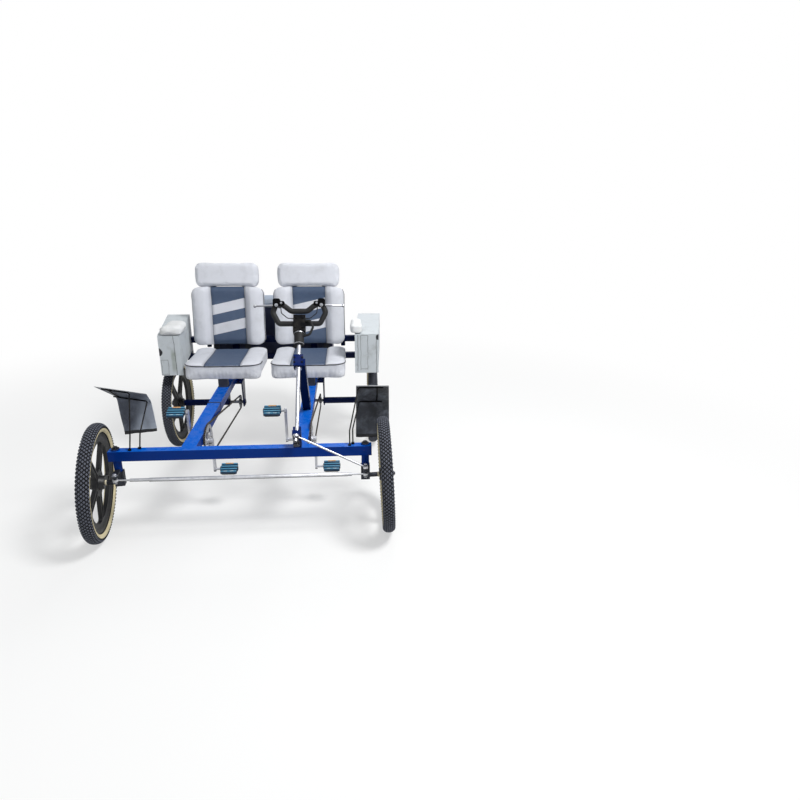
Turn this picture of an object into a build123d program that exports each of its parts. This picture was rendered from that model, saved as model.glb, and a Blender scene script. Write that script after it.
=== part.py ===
import os
from math import asin, atan2, cos, hypot, pi, radians, sin
from build123d import *

os.makedirs("parts", exist_ok=True)

# A two-seat pedal quadricycle. Lengths in mm. X runs to the machine's left-hand side as
# its riders sit, Y rearwards and Z up. Y is counted from the front kingpins while the
# pieces are made and shifted to the middle of the machine's length when they are saved.
# Left and right in the names are as seen by someone standing in front of it.
MIDDLE_Y = 740.0
SEAT_GAP = 0.3  # pieces on different moving bodies stand this far apart where they seat
RUNNING = 0.05  # radial clearance of a turning shaft in its bore


def save(shape, node):
    export_step(Pos(0, -MIDDLE_Y, 0) * shape, f"parts/{node}.step")


def rod(p1, p2, r):
    a = Vector(*p1)
    b = Vector(*p2)
    d = b - a
    return Plane(origin=a, z_dir=d) * Cylinder(r, d.length, align=(Align.CENTER, Align.CENTER, Align.MIN))


def across(x0, x1, y, z, r):
    return rod((x0, y, z), (x1, y, z), r)


def bent_rod(points, r, bend):
    path = FilletPolyline(*points, radius=bend)
    start = Plane(origin=path @ 0, z_dir=path % 0)
    return sweep(start * Circle(r), path=path)


def block(x0, x1, y0, y1, z0, z1):
    return Pos((x0 + x1) / 2, (y0 + y1) / 2, (z0 + z1) / 2) * Box(x1 - x0, y1 - y0, z1 - z0)


def side_plate(x0, x1, outline):
    # outline is a list of (y, z) corners
    face = make_face(Polyline(*[(0, y, z) for y, z in outline], close=True))
    solid = extrude(face, amount=x1 - x0, dir=(1, 0, 0))
    return Pos(x0, 0, 0) * solid


# Front beam and main tubes
BEAM_END = 658.0  # half length
BEAM_DEEP = 50.0
BEAM_TALL = 52.0
BEAM_MID_Z = 450.0
BEAM_WALL = 3.0
BEAM_TOP = BEAM_MID_Z + BEAM_TALL / 2
BEAM_BOTTOM = BEAM_MID_Z - BEAM_TALL / 2
KINGPIN_X = 625.0
HOUSING_R = 20.0
HOUSING_FOOT = 362.0
HOUSING_STEP = 5.0  # housing shows this much above the beam
KINGPIN_R = 10.0

TUBE_WIDE = 74.0
TUBE_TALL = 50.0
TUBE_WALL = 3.0
TUBE_SLOPE = 0.034  # rise per mm rearwards
TUBE_END = 1790.0
LEFT_TUBE_X = -273.0
RIGHT_TUBE_X = 289.0


def tube_top(y):
    return BEAM_TOP + TUBE_SLOPE * (y - BEAM_DEEP / 2)


def under_tube(tx, y0, y1):
    # everything below the top face of a main tube, to trim what stands on it
    deep = tube_top(y0) - 200
    outline = [(y0, tube_top(y0)), (y1, tube_top(y1)), (y1, deep), (y0, deep)]
    return side_plate(tx - TUBE_WIDE, tx + TUBE_WIDE, outline)


beam = block(-BEAM_END, BEAM_END, -BEAM_DEEP / 2, BEAM_DEEP / 2, BEAM_BOTTOM, BEAM_TOP)
beam -= block(
    -BEAM_END, BEAM_END,
    -BEAM_DEEP / 2 + BEAM_WALL, BEAM_DEEP / 2 - BEAM_WALL,
    BEAM_BOTTOM + BEAM_WALL, BEAM_TOP - BEAM_WALL,
)
for side in (-1, 1):
    x = side * KINGPIN_X
    beam += rod((x, 0, HOUSING_FOOT), (x, 0, BEAM_TOP + HOUSING_STEP), HOUSING_R)
    beam -= rod((x, 0, HOUSING_FOOT), (x, 0, BEAM_TOP + HOUSING_STEP), KINGPIN_R + RUNNING)
save(beam, "front_beam")

# Bottom brackets: a shell welded under each main tube
CRANK_Y = 247.0
CRANK_Z = 410.0
SHELL_R = 21.0
SHELL_HALF = 35.0
SPINDLE_R = 8.5

# Rear axle line
AXLE_Y = 1200.0
AXLE_R = 10.0
WHEEL_R = 305.0

for name, tx in (("left", LEFT_TUBE_X), ("right", RIGHT_TUBE_X)):
    y0 = BEAM_DEEP / 2
    outer = side_plate(
        tx - TUBE_WIDE / 2, tx + TUBE_WIDE / 2,
        [(y0, tube_top(y0)), (TUBE_END, tube_top(TUBE_END)),
         (TUBE_END, tube_top(TUBE_END) - TUBE_TALL), (y0, tube_top(y0) - TUBE_TALL)],
    )
    inner = side_plate(
        tx - TUBE_WIDE / 2 + TUBE_WALL, tx + TUBE_WIDE / 2 - TUBE_WALL,
        [(y0, tube_top(y0) - TUBE_WALL), (TUBE_END, tube_top(TUBE_END) - TUBE_WALL),
         (TUBE_END, tube_top(TUBE_END) - TUBE_TALL + TUBE_WALL), (y0, tube_top(y0) - TUBE_TALL + TUBE_WALL)],
    )
    tube = outer - inner
    shell = across(tx - SHELL_HALF, tx + SHELL_HALF, CRANK_Y, CRANK_Z, SHELL_R)
    web = block(tx - SHELL_HALF + 8, tx + SHELL_HALF - 8, CRANK_Y - 16, CRANK_Y + 16,
                CRANK_Z, tube_top(CRANK_Y) - TUBE_TALL + 1)
    tube += web + shell
    tube -= across(tx - SHELL_HALF, tx + SHELL_HALF, CRANK_Y, CRANK_Z, SPINDLE_R + RUNNING)
    save(tube, f"main_tube_{name}")

# Rear frame: uprights on the main tubes carry the upper and lower cross tubes
CROSS_Y = 1440.0
CROSS_W = 40.0
UPPER_Z = 702.0
LOWER_Z = 575.0
BOX_WALL = 12.0

# Armrest boxes over the rear wheels: front and back X of the inner and outer walls
BOX_FRONT = 924.0
BOX_BACK = 1480.0
BOX_FLOOR = 624.0
BOX_FRONT_LIP = 588.0
BOX_TOP_FRONT = 848.0
BOX_TOP_BACK = 876.0
#            side    front in  front out  back in  back out
armrests = (("left", -519.0, -654.0, -590.0, -742.0),
            ("right", 584.0, 738.0, 614.0, 772.0))


def box_x(front, back, y):
    return front + (back - front) * (y - BOX_FRONT) / (BOX_BACK - BOX_FRONT)


def box_hull(fi, fo, bi, bo, inset, z_low):
    # plan outline shrunk by inset, then cut by the sloping top
    s = 1 if fo > fi else -1
    pts = [(fi + s * inset, BOX_FRONT + inset), (fo - s * inset, BOX_FRONT + inset),
           (bo - s * inset, BOX_BACK - inset), (bi + s * inset, BOX_BACK - inset)]
    plan = make_face(Polyline(*[(px, py, z_low) for px, py in pts], close=True))
    solid = extrude(plan, amount=BOX_TOP_BACK + 50 - z_low, dir=(0, 0, 1))
    above = side_plate(
        -1000, 1000,
        [(BOX_FRONT - 50, BOX_TOP_FRONT - inset - 2.6), (BOX_BACK + 50, BOX_TOP_BACK - inset + 2.6),
         (BOX_BACK + 50, BOX_TOP_BACK + 200), (BOX_FRONT - 50, BOX_TOP_BACK + 200)],
    )
    return solid - above


for name, fi, fo, bi, bo in armrests:
    s = 1 if fo > fi else -1
    outer = box_hull(fi, fo, bi, bo, 0, BOX_FLOOR)
    front = box_hull(fi, fo, bi, bo, 0, BOX_FRONT_LIP)
    front &= block(-1000, 1000, BOX_FRONT - 1, BOX_FRONT + BOX_WALL, BOX_FRONT_LIP, BOX_TOP_BACK + 50)
    shell = outer + front - box_hull(fi, fo, bi, bo, BOX_WALL, BOX_FLOOR - 60)
    save(shell, f"armrest_box_{name}")

left_in = box_x(armrests[0][1], armrests[0][3], CROSS_Y)
right_in = box_x(armrests[1][1], armrests[1][3], CROSS_Y)
half = CROSS_W / 2
upper = block(left_in - 10, right_in + 10, CROSS_Y - half, CROSS_Y + half, UPPER_Z - half, UPPER_Z + half)
lower = block(left_in - 40, right_in + 40, CROSS_Y - half, CROSS_Y + half, LOWER_Z - half, LOWER_Z + half)
for name, fi, fo, bi, bo in armrests:
    hull = box_hull(fi, fo, bi, bo, 0, BOX_FLOOR)
    upper -= hull
frame = upper + lower
for tx in (LEFT_TUBE_X, RIGHT_TUBE_X):
    post = block(tx - half, tx + half, CROSS_Y - half, CROSS_Y + half, tube_top(CROSS_Y) - 20, UPPER_Z)
    frame += post - under_tube(tx, CROSS_Y - 80, CROSS_Y + 80)
# brackets that carry the armrest boxes, up from the lower cross tube to the box floors
for name, fi, fo, bi, bo in armrests:
    s = 1 if fo > fi else -1
    x_in = box_x(fi, bi, CROSS_Y)
    frame += block(min(x_in, x_in + s * 40), max(x_in, x_in + s * 40), CROSS_Y - half, CROSS_Y + half,
                   LOWER_Z, BOX_FLOOR)
# sockets for the posts of the sun canopy
SOCKET_R_IN = 12.7
SOCKET_R_OUT = 16.0
SOCKET_Z0 = 640.0
SOCKET_Z1 = 760.0
SOCKET_X = (-470.0, 500.0)
SOCKET_Y = CROSS_Y + half + SOCKET_R_OUT - 1
for sx in SOCKET_X:
    frame += rod((sx, SOCKET_Y, SOCKET_Z0), (sx, SOCKET_Y, SOCKET_Z1), SOCKET_R_OUT)
    frame += block(sx - 12, sx + 12, CROSS_Y + half - 1, SOCKET_Y, UPPER_Z - half, UPPER_Z + half)
for sx in SOCKET_X:
    frame -= rod((sx, SOCKET_Y, SOCKET_Z0 + 5), (sx, SOCKET_Y, SOCKET_Z1), SOCKET_R_IN)
save(frame, "rear_frame")

# Axle carriers: a bearing tube on two hanger plates under each main tube
HANGER_T = 8.0
HANGER_TOP = 50.0  # half widths of the plates at the tube and at the foot
HANGER_FOOT = 30.0
CARRIER_R = 22.0
#         side     tube X         inner plate  outer plate  tube end  wheel X
carriers = (("left", LEFT_TUBE_X, -200.0, -306.0, -612.0, -652.0),
            ("right", RIGHT_TUBE_X, 362.0, 256.0, 662.0, 704.0))
for name, tx, plate_a, plate_b, end_x, wx in carriers:
    top = tube_top(AXLE_Y) - TUBE_TALL
    body = Part()
    y0, y1 = AXLE_Y - HANGER_TOP, AXLE_Y + HANGER_TOP
    foot = WHEEL_R - CARRIER_R - 4
    for px in (plate_a, plate_b):
        body += side_plate(px - HANGER_T / 2, px + HANGER_T / 2, [
            (y0, top + 10), (y1, top + 10), (AXLE_Y + HANGER_FOOT, foot), (AXLE_Y - HANGER_FOOT, foot)])
    # cap plate face to face with the underside of the main tube
    lo, hi = min(plate_a, plate_b) - HANGER_T / 2, max(plate_a, plate_b) + HANGER_T / 2
    body += block(lo, hi, y0, y1, top - 14, top + 10)
    y0, y1 = y0 - 40, y1 + 40
    body -= side_plate(lo - 5, hi + 5, [
        (y0, tube_top(y0) - TUBE_TALL), (y1, tube_top(y1) - TUBE_TALL), (y1, top + 60), (y0, top + 60)])
    outer_plate = plate_b if name == "left" else plate_a
    body += across(outer_plate, end_x, AXLE_Y, WHEEL_R, CARRIER_R)
    for px in (plate_a, plate_b):
        body += across(px - HANGER_T, px + HANGER_T, AXLE_Y, WHEEL_R, CARRIER_R)
    body -= across(min(lo, end_x) - 30, max(hi, end_x) + 30, AXLE_Y, WHEEL_R, AXLE_R + RUNNING)
    save(body, f"axle_carrier_{name}")


# Wheels: five-spoke moulded rims with square-shouldered tyres
TYRE_W = 30.0  # half width
TYRE_TALL = 51.0
BEAD_R = WHEEL_R - TYRE_TALL
BEAD_HALF = 15.0
RIM_IN = BEAD_R - 26
RIM_HALF = 17.0
DISC_HALF = 10.0
WINDOW_IN = 69.0
WINDOW_OUT = RIM_IN - 22
SPOKE_IN = 20.0
SPOKE_OUT = 15.0
SPOKES = 5
RIB_IN = 60.0  # each spoke is sunk between two ribs from here
RIB_OUT = WINDOW_OUT - 8  # to here
RIB_DEEP = 3.5
HUB_R = 31.0
HUB_HALF = 34.0

#              half width           radius
tyre_section = ((BEAD_HALF, BEAD_R),
                (TYRE_W - 6, BEAD_R + 6),
                (TYRE_W, WHEEL_R - 30),
                (TYRE_W - 5, WHEEL_R - 14),
                (TYRE_W - 18, WHEEL_R))
tyre_profile = [(-w, r) for w, r in tyre_section] + [(w, r) for w, r in reversed(tyre_section)]


def spin_x(profile):
    # profile of (x, r) corners turned about the X axis
    face = make_face(Polyline(*[(x, r, 0) for x, r in profile], close=True))
    return revolve(face, axis=Axis.X, revolution_arc=360)


def window():
    half_in = radians(180 / SPOKES) - asin(SPOKE_IN / WINDOW_IN)
    half_out = radians(180 / SPOKES) - asin(SPOKE_OUT / WINDOW_OUT)

    def at(r, a):
        return (0, r * sin(a), r * cos(a))

    wire = [Line(at(WINDOW_IN, -half_in), at(WINDOW_OUT, -half_out)),
            ThreePointArc(at(WINDOW_OUT, -half_out), at(WINDOW_OUT, 0), at(WINDOW_OUT, half_out)),
            Line(at(WINDOW_OUT, half_out), at(WINDOW_IN, half_in)),
            ThreePointArc(at(WINDOW_IN, half_in), at(WINDOW_IN, 0), at(WINDOW_IN, -half_in))]
    face = make_face(wire)
    solid = Pos(-40, 0, 0) * extrude(face, amount=80, dir=(1, 0, 0))
    return fillet(solid.edges().filter_by(Axis.X), 14)


def rim(bore):
    body = spin_x([(-RIM_HALF, RIM_IN + 8), (-RIM_HALF, BEAD_R), (RIM_HALF, BEAD_R), (RIM_HALF, RIM_IN + 8),
                   (DISC_HALF, RIM_IN - 14), (DISC_HALF, HUB_R + 8), (HUB_HALF, HUB_R), (HUB_HALF, bore),
                   (-HUB_HALF, bore), (-HUB_HALF, HUB_R), (-DISC_HALF, HUB_R + 8), (-DISC_HALF, RIM_IN - 14)])
    opening = window()
    groove = Box(RIB_DEEP * 2, SPOKE_IN, RIB_OUT - RIB_IN)
    groove = fillet(groove.edges().filter_by(Axis.X), SPOKE_IN / 2 - 1)
    for k in range(SPOKES):
        body -= Rot(360 / SPOKES * k, 0, 0) * opening
        for face_x in (-DISC_HALF, DISC_HALF):
            body -= Rot(360 / SPOKES * (k + 0.5), 0, 0) * Pos(face_x, 0, (RIB_IN + RIB_OUT) / 2) * groove
    return body


tyre = spin_x(tyre_profile)
STUB_R = 7.0
front_rim = rim(STUB_R + RUNNING)
rear_rim = rim(AXLE_R)

# Front axle ends: toe and camber as the machine stands
AXLE_REACH = 107.0
KNUCKLE_FOOT = WHEEL_R - 21.0
ARM_REACH = 92.0
ARM_Z = 366.0
ARM_T = 12.0
ARM_W = 24.0
STUD_R = 5.0
TIE_Z = 352.0
LINK_Z = 390.0
#             side   sign  toe    camber
fronts = (("left", -1, 9.0, 3.5),
          ("right", 1, -0.5, 2.5))
CAP_Z = BEAM_TOP + HOUSING_STEP  # under the kingpin's cap
CAP_R = 19.0
NUT_T = 5.5


def arm_tip(side, toe):
    a = radians(toe)
    return (side * KINGPIN_X + ARM_REACH * sin(a), -ARM_REACH * cos(a))


for name, side, toe, camber in fronts:
    here = Pos(side * KINGPIN_X, 0, 0) * Rot(0, 0, toe)
    hub = here * Pos(side * AXLE_REACH, 0, WHEEL_R) * Rot(0, -side * camber, 0)
    knuckle = rod((0, 0, HOUSING_FOOT - 42), (0, 0, CAP_Z + SEAT_GAP + 14), KINGPIN_R)
    knuckle += rod((0, 0, CAP_Z + SEAT_GAP), (0, 0, CAP_Z + 6), CAP_R)
    knuckle += block(-23, 23, -20, 20, KNUCKLE_FOOT, HOUSING_FOOT - SEAT_GAP)
    knuckle += block(-ARM_W / 2, ARM_W / 2, -36, -20, KNUCKLE_FOOT + 16, ARM_Z + ARM_T)
    knuckle += block(-ARM_W / 2, ARM_W / 2, -ARM_REACH, -21.5, ARM_Z, ARM_Z + ARM_T)
    knuckle += rod((0, -ARM_REACH, ARM_Z), (0, -ARM_REACH, ARM_Z + ARM_T), ARM_W / 2)
    knuckle += rod((0, -ARM_REACH, TIE_Z - 10), (0, -ARM_REACH, ARM_Z), STUD_R)
    knuckle += rod((0, -ARM_REACH, TIE_Z - 8.5 - NUT_T), (0, -ARM_REACH, TIE_Z - 8.5), STUD_R + 4)
    if name == "right":
        knuckle += rod((0, -ARM_REACH, ARM_Z), (0, -ARM_REACH, LINK_Z + 10), STUD_R)
        knuckle += rod((0, -ARM_REACH, LINK_Z + 8.5), (0, -ARM_REACH, LINK_Z + 8.5 + NUT_T), STUD_R + 4)
    knuckle = here * knuckle
    stub = rod((-side * 100, 0, 0), (side * (HUB_HALF + 16), 0, 0), STUB_R)
    stub += rod((-side * 84, 0, 0), (-side * (HUB_HALF + 1), 0, 0), STUB_R + 5)
    stub += rod((side * (HUB_HALF + 1), 0, 0), (side * (HUB_HALF + 12), 0, 0), STUB_R + 5)
    save(knuckle + hub * stub, f"knuckle_{name}")
    save(hub * front_rim, f"front_rim_{name}")
    save(hub * tyre, f"front_tyre_{name}")

# Half shafts with their sprockets
RING_X = 45.0  # from the tube's middle to the chain line
RING_R = 95.0
SPROCKET_R = 42.0
RING_T = 4.0
CHAIN_PITCH = 12.7
TOOTH_GAP_R = 3.6


def toothed(x, y, z, r):
    # a chain wheel with round gaps between its teeth, a chain's pitch apart
    count = round(2 * pi * r / CHAIN_PITCH)
    gap = Rot(0, 90, 0) * Cylinder(TOOTH_GAP_R, 3 * RING_T)
    gaps = [Pos(x, y, z) * Rot(360 / count * k, 0, 0) * Pos(0, 0, r + 0.6) * gap for k in range(count)]
    return across(x - RING_T / 2, x + RING_T / 2, y, z, r) - gaps


for name, tx, plate_a, plate_b, end_x, wx in carriers:
    side = -1 if name == "left" else 1
    inner_end = (plate_a if side < 0 else plate_b) - side * 12
    ring_x = tx + RING_X
    here = Pos(wx, AXLE_Y, WHEEL_R)
    shaft = across(inner_end, wx + side * (HUB_HALF + 14), AXLE_Y, WHEEL_R, AXLE_R)
    shaft += toothed(ring_x, AXLE_Y, WHEEL_R, SPROCKET_R)
    shaft += across(ring_x - 9, ring_x + 9, AXLE_Y, WHEEL_R, 2 * AXLE_R)
    shaft += across(wx + side * HUB_HALF, wx + side * (HUB_HALF + 11), AXLE_Y, WHEEL_R, AXLE_R + 6)
    save(shaft, f"half_shaft_{name}")
    save(here * rear_rim, f"rear_rim_{name}")
    save(here * tyre, f"rear_tyre_{name}")

# Tie rod between the steering arms
left_tip = arm_tip(-1, fronts[0][2])
right_tip = arm_tip(1, fronts[1][2])
ROD_END_R = 13.0
ROD_END_T = 12.0
TIE_R = 8.0
TIE_NECK = 70.0


def rod_end(x, y, z):
    return rod((x, y, z - ROD_END_T / 2), (x, y, z + ROD_END_T / 2), ROD_END_R)


def between(p, q, d):
    n = Vector(*q) - Vector(*p)
    n = n * (d / n.length)
    return (p[0] + n.X, p[1] + n.Y, p[2] + n.Z)


lt = (left_tip[0], left_tip[1], TIE_Z)
rt = (right_tip[0], right_tip[1], TIE_Z)
tie = rod(between(lt, rt, TIE_NECK), between(rt, lt, TIE_NECK), TIE_R)
tie += rod(lt, rt, 4.5)
tie += rod_end(*lt) + rod_end(*rt)
tie -= rod((lt[0], lt[1], TIE_Z - 20), (lt[0], lt[1], TIE_Z + 20), STUD_R + 3.0)
tie -= rod((rt[0], rt[1], TIE_Z - 20), (rt[0], rt[1], TIE_Z + 20), STUD_R + RUNNING)
save(tie, "tie_rod")

# Steering column, in the plane X = COLUMN_X, leaning back
COLUMN_X = 281.0
FOOT_Y = -46.0
FOOT_Z = 540.0
COLUMN_RUN = 521.0  # the column leans this far back
COLUMN_RISE = 540.0  # over this height
LEAN = atan2(COLUMN_RUN, COLUMN_RISE)
U = (0.0, sin(LEAN), cos(LEAN))
W = (0.0, -cos(LEAN), sin(LEAN))  # square to the column, up and forward
SHAFT_R = 10.5


def col(t, w=0.0, x=0.0):
    return (COLUMN_X + x, FOOT_Y + U[1] * t + W[1] * w, FOOT_Z + U[2] * t + W[2] * w)


def col_block(t0, t1, wide, deep, w=0.0, x=0.0):
    here = Plane(origin=Vector(*col((t0 + t1) / 2, w, x)), x_dir=(1, 0, 0), z_dir=U)
    return here * Box(wide, deep, t1 - t0)


def col_round(t0, t1, r, w=0.0, x=0.0):
    return rod(col(t0, w, x), col(t1, w, x), r)


PITMAN = 46.0
EYE_T0 = -12.5  # ends of the drag link's eye, along the column
EYE_T1 = -2.5
EYE_MID = (EYE_T0 + EYE_T1) / 2
DROP_T0 = -38.0  # faces of the drop arm, along the column
DROP_T1 = -27.0
shaft = col_round(DROP_T0 - 4, 537, SHAFT_R)
shaft += col_round(DROP_T0 - 4, DROP_T1 + 8, 17)
shaft += col_block(DROP_T0, DROP_T1, 16, PITMAN, w=PITMAN / 2)
shaft += col_round(DROP_T0, DROP_T1, 10, w=PITMAN)
shaft += col_round(DROP_T0, EYE_T1 + 4, 3.5, w=PITMAN)
shaft += col_round(0, 8, 15)
shaft += col_round(388, 398, 16)
save(shaft, "steering_shaft")

# lower bearing on the beam
bearing = col_block(8.3, 34, 44, 40)
bearing += side_plate(COLUMN_X - 20, COLUMN_X + 20,
                      [(-24, BEAM_TOP), (24, BEAM_TOP), (-6, 585), (-30, 560)])
bearing -= block(COLUMN_X - 60, COLUMN_X + 60, -80, 80, BEAM_TOP - 60, BEAM_TOP)
bearing -= col_round(-60, 120, SHAFT_R + RUNNING)
bearing -= col_block(-60, 8.3, 90, 60)
save(bearing, "lower_bearing")

# support post with the upper bearing
POST_X = 293.0
POST_W = 45.0
POST_FOOT_Y = 536.0
head = col_block(398.3, 465, 50, 54)
top = Vector(POST_X, col(432)[1], col(432)[2])
foot = Vector(POST_X, POST_FOOT_Y, tube_top(POST_FOOT_Y) - 20)
axis = foot - top
down = Plane(origin=top, x_dir=(1, 0, 0), z_dir=axis)
post = down * Pos(0, 0, axis.length / 2 + 20) * Box(POST_W, POST_W, axis.length + 40)
post -= under_tube(POST_X, POST_FOOT_Y - 150, POST_FOOT_Y + 150)
post -= col_block(300, 550, 120, 30, w=40)
post = head + post
post -= col_round(300, 600, SHAFT_R + RUNNING)
post -= col_block(380, 398.3, 70, 40)
save(post, "steering_post")

# rubber coupling, stem and handlebar
coupling = col_round(537, 612, 26)
save(coupling, "rubber_coupling")

BAR_R = 12.0
BAR_T = 672.0
bar_plane = Plane(origin=Vector(*col(BAR_T)), x_dir=(1, 0, 0), z_dir=(0, -0.954, 0.3))


def bar_point(x, h, d=0.0):
    # x across, h up in the bars' plane, d out of it towards the front
    p = bar_plane.from_local_coords((x, h, d))
    return (p.X, p.Y, p.Z)


GRIP_X = 122.0
GRIP_H = 118.0
GRIP_BACK = 112.0  # the grips run back towards the driver
GRIP_R = 17.0
half_bar = [(112, 0, 0), (144, 60, 0), (GRIP_X, GRIP_H, 0), (GRIP_X, GRIP_H, -GRIP_BACK)]
whole_bar = [(-x, h, d) for x, h, d in reversed(half_bar)] + half_bar
outer_bar = bent_rod([bar_point(*p) for p in whole_bar], BAR_R, 20)
yoke = bent_rod([bar_point(-GRIP_X - 4, 116), bar_point(-84, 100), bar_point(-44, 68),
                 bar_point(44, 68), bar_point(84, 100), bar_point(GRIP_X + 4, 116)], BAR_R, 24)
handlebar = col_block(612, 716, 66, 48) + outer_bar + yoke
for s in (-1, 1):
    grip_x = s * GRIP_X
    handlebar += rod(bar_point(grip_x, GRIP_H, -30), bar_point(grip_x, GRIP_H, -GRIP_BACK - 4), GRIP_R)
    # lever clamp with its pivot boss
    middle = Vector(*bar_point(grip_x, GRIP_H - 4, 0))
    clamp = Plane(origin=middle, x_dir=(1, 0, 0), z_dir=bar_plane.z_dir)
    handlebar += clamp * fillet(Box(40, 46, 34).edges().filter_by(Axis.Z), 10)
    handlebar += clamp * Pos(-s * 26, -4, 2) * fillet(Box(34, 26, 26).edges().filter_by(Axis.Z), 8)
    handlebar += rod(bar_point(grip_x, GRIP_H - 18, 14), bar_point(grip_x, GRIP_H - 18, 24), 9)
save(handlebar, "handlebar")

LEVER_R = 5.0
for name, s in (("left", -1), ("right", 1)):
    lever = bent_rod([bar_point(s * (GRIP_X + 2), GRIP_H - 18, 12), bar_point(s * 180, 98, 12),
                      bar_point(s * 238, 98, 0)], LEVER_R, 20)
    lever += Pos(*bar_point(s * 240, 98)) * Sphere(9)
    lever -= handlebar
    lever = lever.solids().sort_by(SortBy.VOLUME)[-1]
    save(lever, f"brake_lever_{name}")

# Hose looped from the stem to the coupling, and the two brake cables from the clamps
HOSE_R = 6.5
CABLE_R = 2.5
hose = bent_rod([col(682, 18, 20), col(672, 30, 60), col(628, 34, 76), col(588, 26, 58), col(584, 8, 14)],
                HOSE_R, 15)
hose -= handlebar + coupling
hose = hose.solids().sort_by(SortBy.VOLUME)[-1]
save(hose, "coupling_hose")
cables = Part()
for s in (-1, 1):
    cable = bent_rod([bar_point(s * 100, 100, 8), bar_point(s * 96, 56, 18), bar_point(s * 62, 28, 22),
                      bar_point(s * 24, 26, 14)], CABLE_R, 16)
    cable -= handlebar
    cables += cable.solids().sort_by(SortBy.VOLUME)[-1]
save(cables, "brake_cables")

# Drag link from the drop arm to the right steering arm
p_arm = (right_tip[0], right_tip[1], LINK_Z)
p_col = col(EYE_MID, PITMAN)
EYE_R = 15.5
EYE_BORE_R = 10.2  # loose on its pin, which swings out of the link's own plane
link = rod(between(p_arm, p_col, 30), between(p_col, p_arm, 34), 5.5)
link += rod(between(p_arm, p_col, 12.5), between(p_col, p_arm, EYE_R - 2), 3.8)
link += rod_end(*p_arm)
link += col_round(EYE_T0, EYE_T1, EYE_R, w=PITMAN)
link -= col_round(EYE_T0 - 10, EYE_T1 + 10, EYE_BORE_R, w=PITMAN)
link -= rod((p_arm[0], p_arm[1], LINK_Z - 20), (p_arm[0], p_arm[1], LINK_Z + 20), STUD_R + RUNNING)
save(link, "drag_link")

# Cranksets, pedals and chains
CRANK = 170.0
CRANK_T = 12.0
PEDAL_W = 98.0
PEDAL_L = 74.0
PEDAL_H = 24.0
PEDAL_PIN = 6.0
PEDAL_TILT = 25.0
HUB_BOSS_R = 16.0
RING_HOLES = 5
CHAIN_T = 8.0
CHAIN_W = 8.0
#          side    tube X        arms: up, down   middles of the pedals: up, down
cranks = (("left", LEFT_TUBE_X, (-51.0, 64.0), (-112.0, 141.0)),
          ("right", RIGHT_TUBE_X, (-91.0, 64.0), (-163.0, 151.0)))
for name, tx, arms, pedals in cranks:
    ring_x = tx + RING_X
    crank = across(tx + arms[0], tx + arms[1], CRANK_Y, CRANK_Z, SPINDLE_R)
    crank += toothed(ring_x, CRANK_Y, CRANK_Z, RING_R)
    crank += across(ring_x - RING_T, tx + arms[1], CRANK_Y, CRANK_Z, HUB_BOSS_R)
    hole = Pos(0, 0, RING_R * 0.55) * Rot(0, 90, 0) * Cylinder(RING_R * 0.23, 5 * RING_T)
    for k in range(RING_HOLES):
        crank -= Pos(ring_x, CRANK_Y, CRANK_Z) * Rot(360 / RING_HOLES * (k + 0.5), 0, 0) * hole
    for s, arm_x, pedal_x in zip((-1, 1), arms, pedals):
        x = tx + arm_x
        end_z = CRANK_Z - s * CRANK
        lo, hi = min(CRANK_Z, end_z), max(CRANK_Z, end_z)
        crank += block(x - CRANK_T / 2, x + CRANK_T / 2, CRANK_Y - 12, CRANK_Y + 12, lo, hi)
        for z in (lo, hi):
            crank += across(x - CRANK_T / 2, x + CRANK_T / 2, CRANK_Y, z, 15)
        pin_end = tx + pedal_x + s * (PEDAL_W / 2 - 6)
        crank += across(x, pin_end, CRANK_Y, end_z, PEDAL_PIN)
        pedal = fillet(Box(PEDAL_W, PEDAL_L, PEDAL_H).edges().filter_by(Axis.Z), 12)
        pedal = Pos(tx + pedal_x, CRANK_Y, end_z) * Rot(PEDAL_TILT, 0, 0) * pedal
        pedal -= across(x, pin_end + s, CRANK_Y, end_z, PEDAL_PIN + RUNNING)
        save(pedal, f"pedal_{name}_{'up' if s < 0 else 'down'}")
    save(crank, f"crankset_{name}")

    def loop(grow):
        a = Circle(RING_R + grow)
        span = hypot(AXLE_Y - CRANK_Y, CRANK_Z - WHEEL_R)
        b = Pos(span, 0, 0) * Circle(SPROCKET_R + grow)
        return make_hull(a.edges() + b.edges())

    band = extrude(loop(SEAT_GAP + CHAIN_T), amount=CHAIN_W) - extrude(loop(SEAT_GAP), amount=CHAIN_W)
    drop = Vector(0, AXLE_Y - CRANK_Y, WHEEL_R - CRANK_Z)
    place = Plane(origin=(tx + RING_X - CHAIN_W / 2, CRANK_Y, CRANK_Z), x_dir=drop, z_dir=(1, 0, 0))
    save(place * band, f"chain_{name}")

# Seats
PAN_W = 430.0
PAN_Y0 = 884.0
PAN_Y1 = 1318.0
PAN_Z = 586.0
PAN_T = 18.0
CUSHION_W = 505.0
CUSHION_Y0 = 866.0
CUSHION_Y1 = 1300.0
CUSHION_Z0 = 564.0  # the skirt hangs over the board to here
CUSHION_LIP = 636.0
CUSHION_Z1 = 676.0
SKIRT_IN = 18.0
BACK_TILT = 9.5
BACK_W = 522.0
BACK_T = 96.0
BACK_FOOT_Y = 1272.0
BACK_FOOT_Z = 700.0
BACK_Z = -12.0  # the back's lower edge, along its lean
BACK_H = 417.0
HEAD_W = 442.0
HEAD_T = 84.0
HEAD_Z = BACK_Z + BACK_H + 2 * SEAT_GAP
HEAD_H = 157.0
STRAP_W = 40.0
STRAP_T = 8.0
STRAP_X = 110.0
RISER_W = 60.0
STRAP_FOOT_Y = BACK_FOOT_Y + BACK_T + 4
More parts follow.
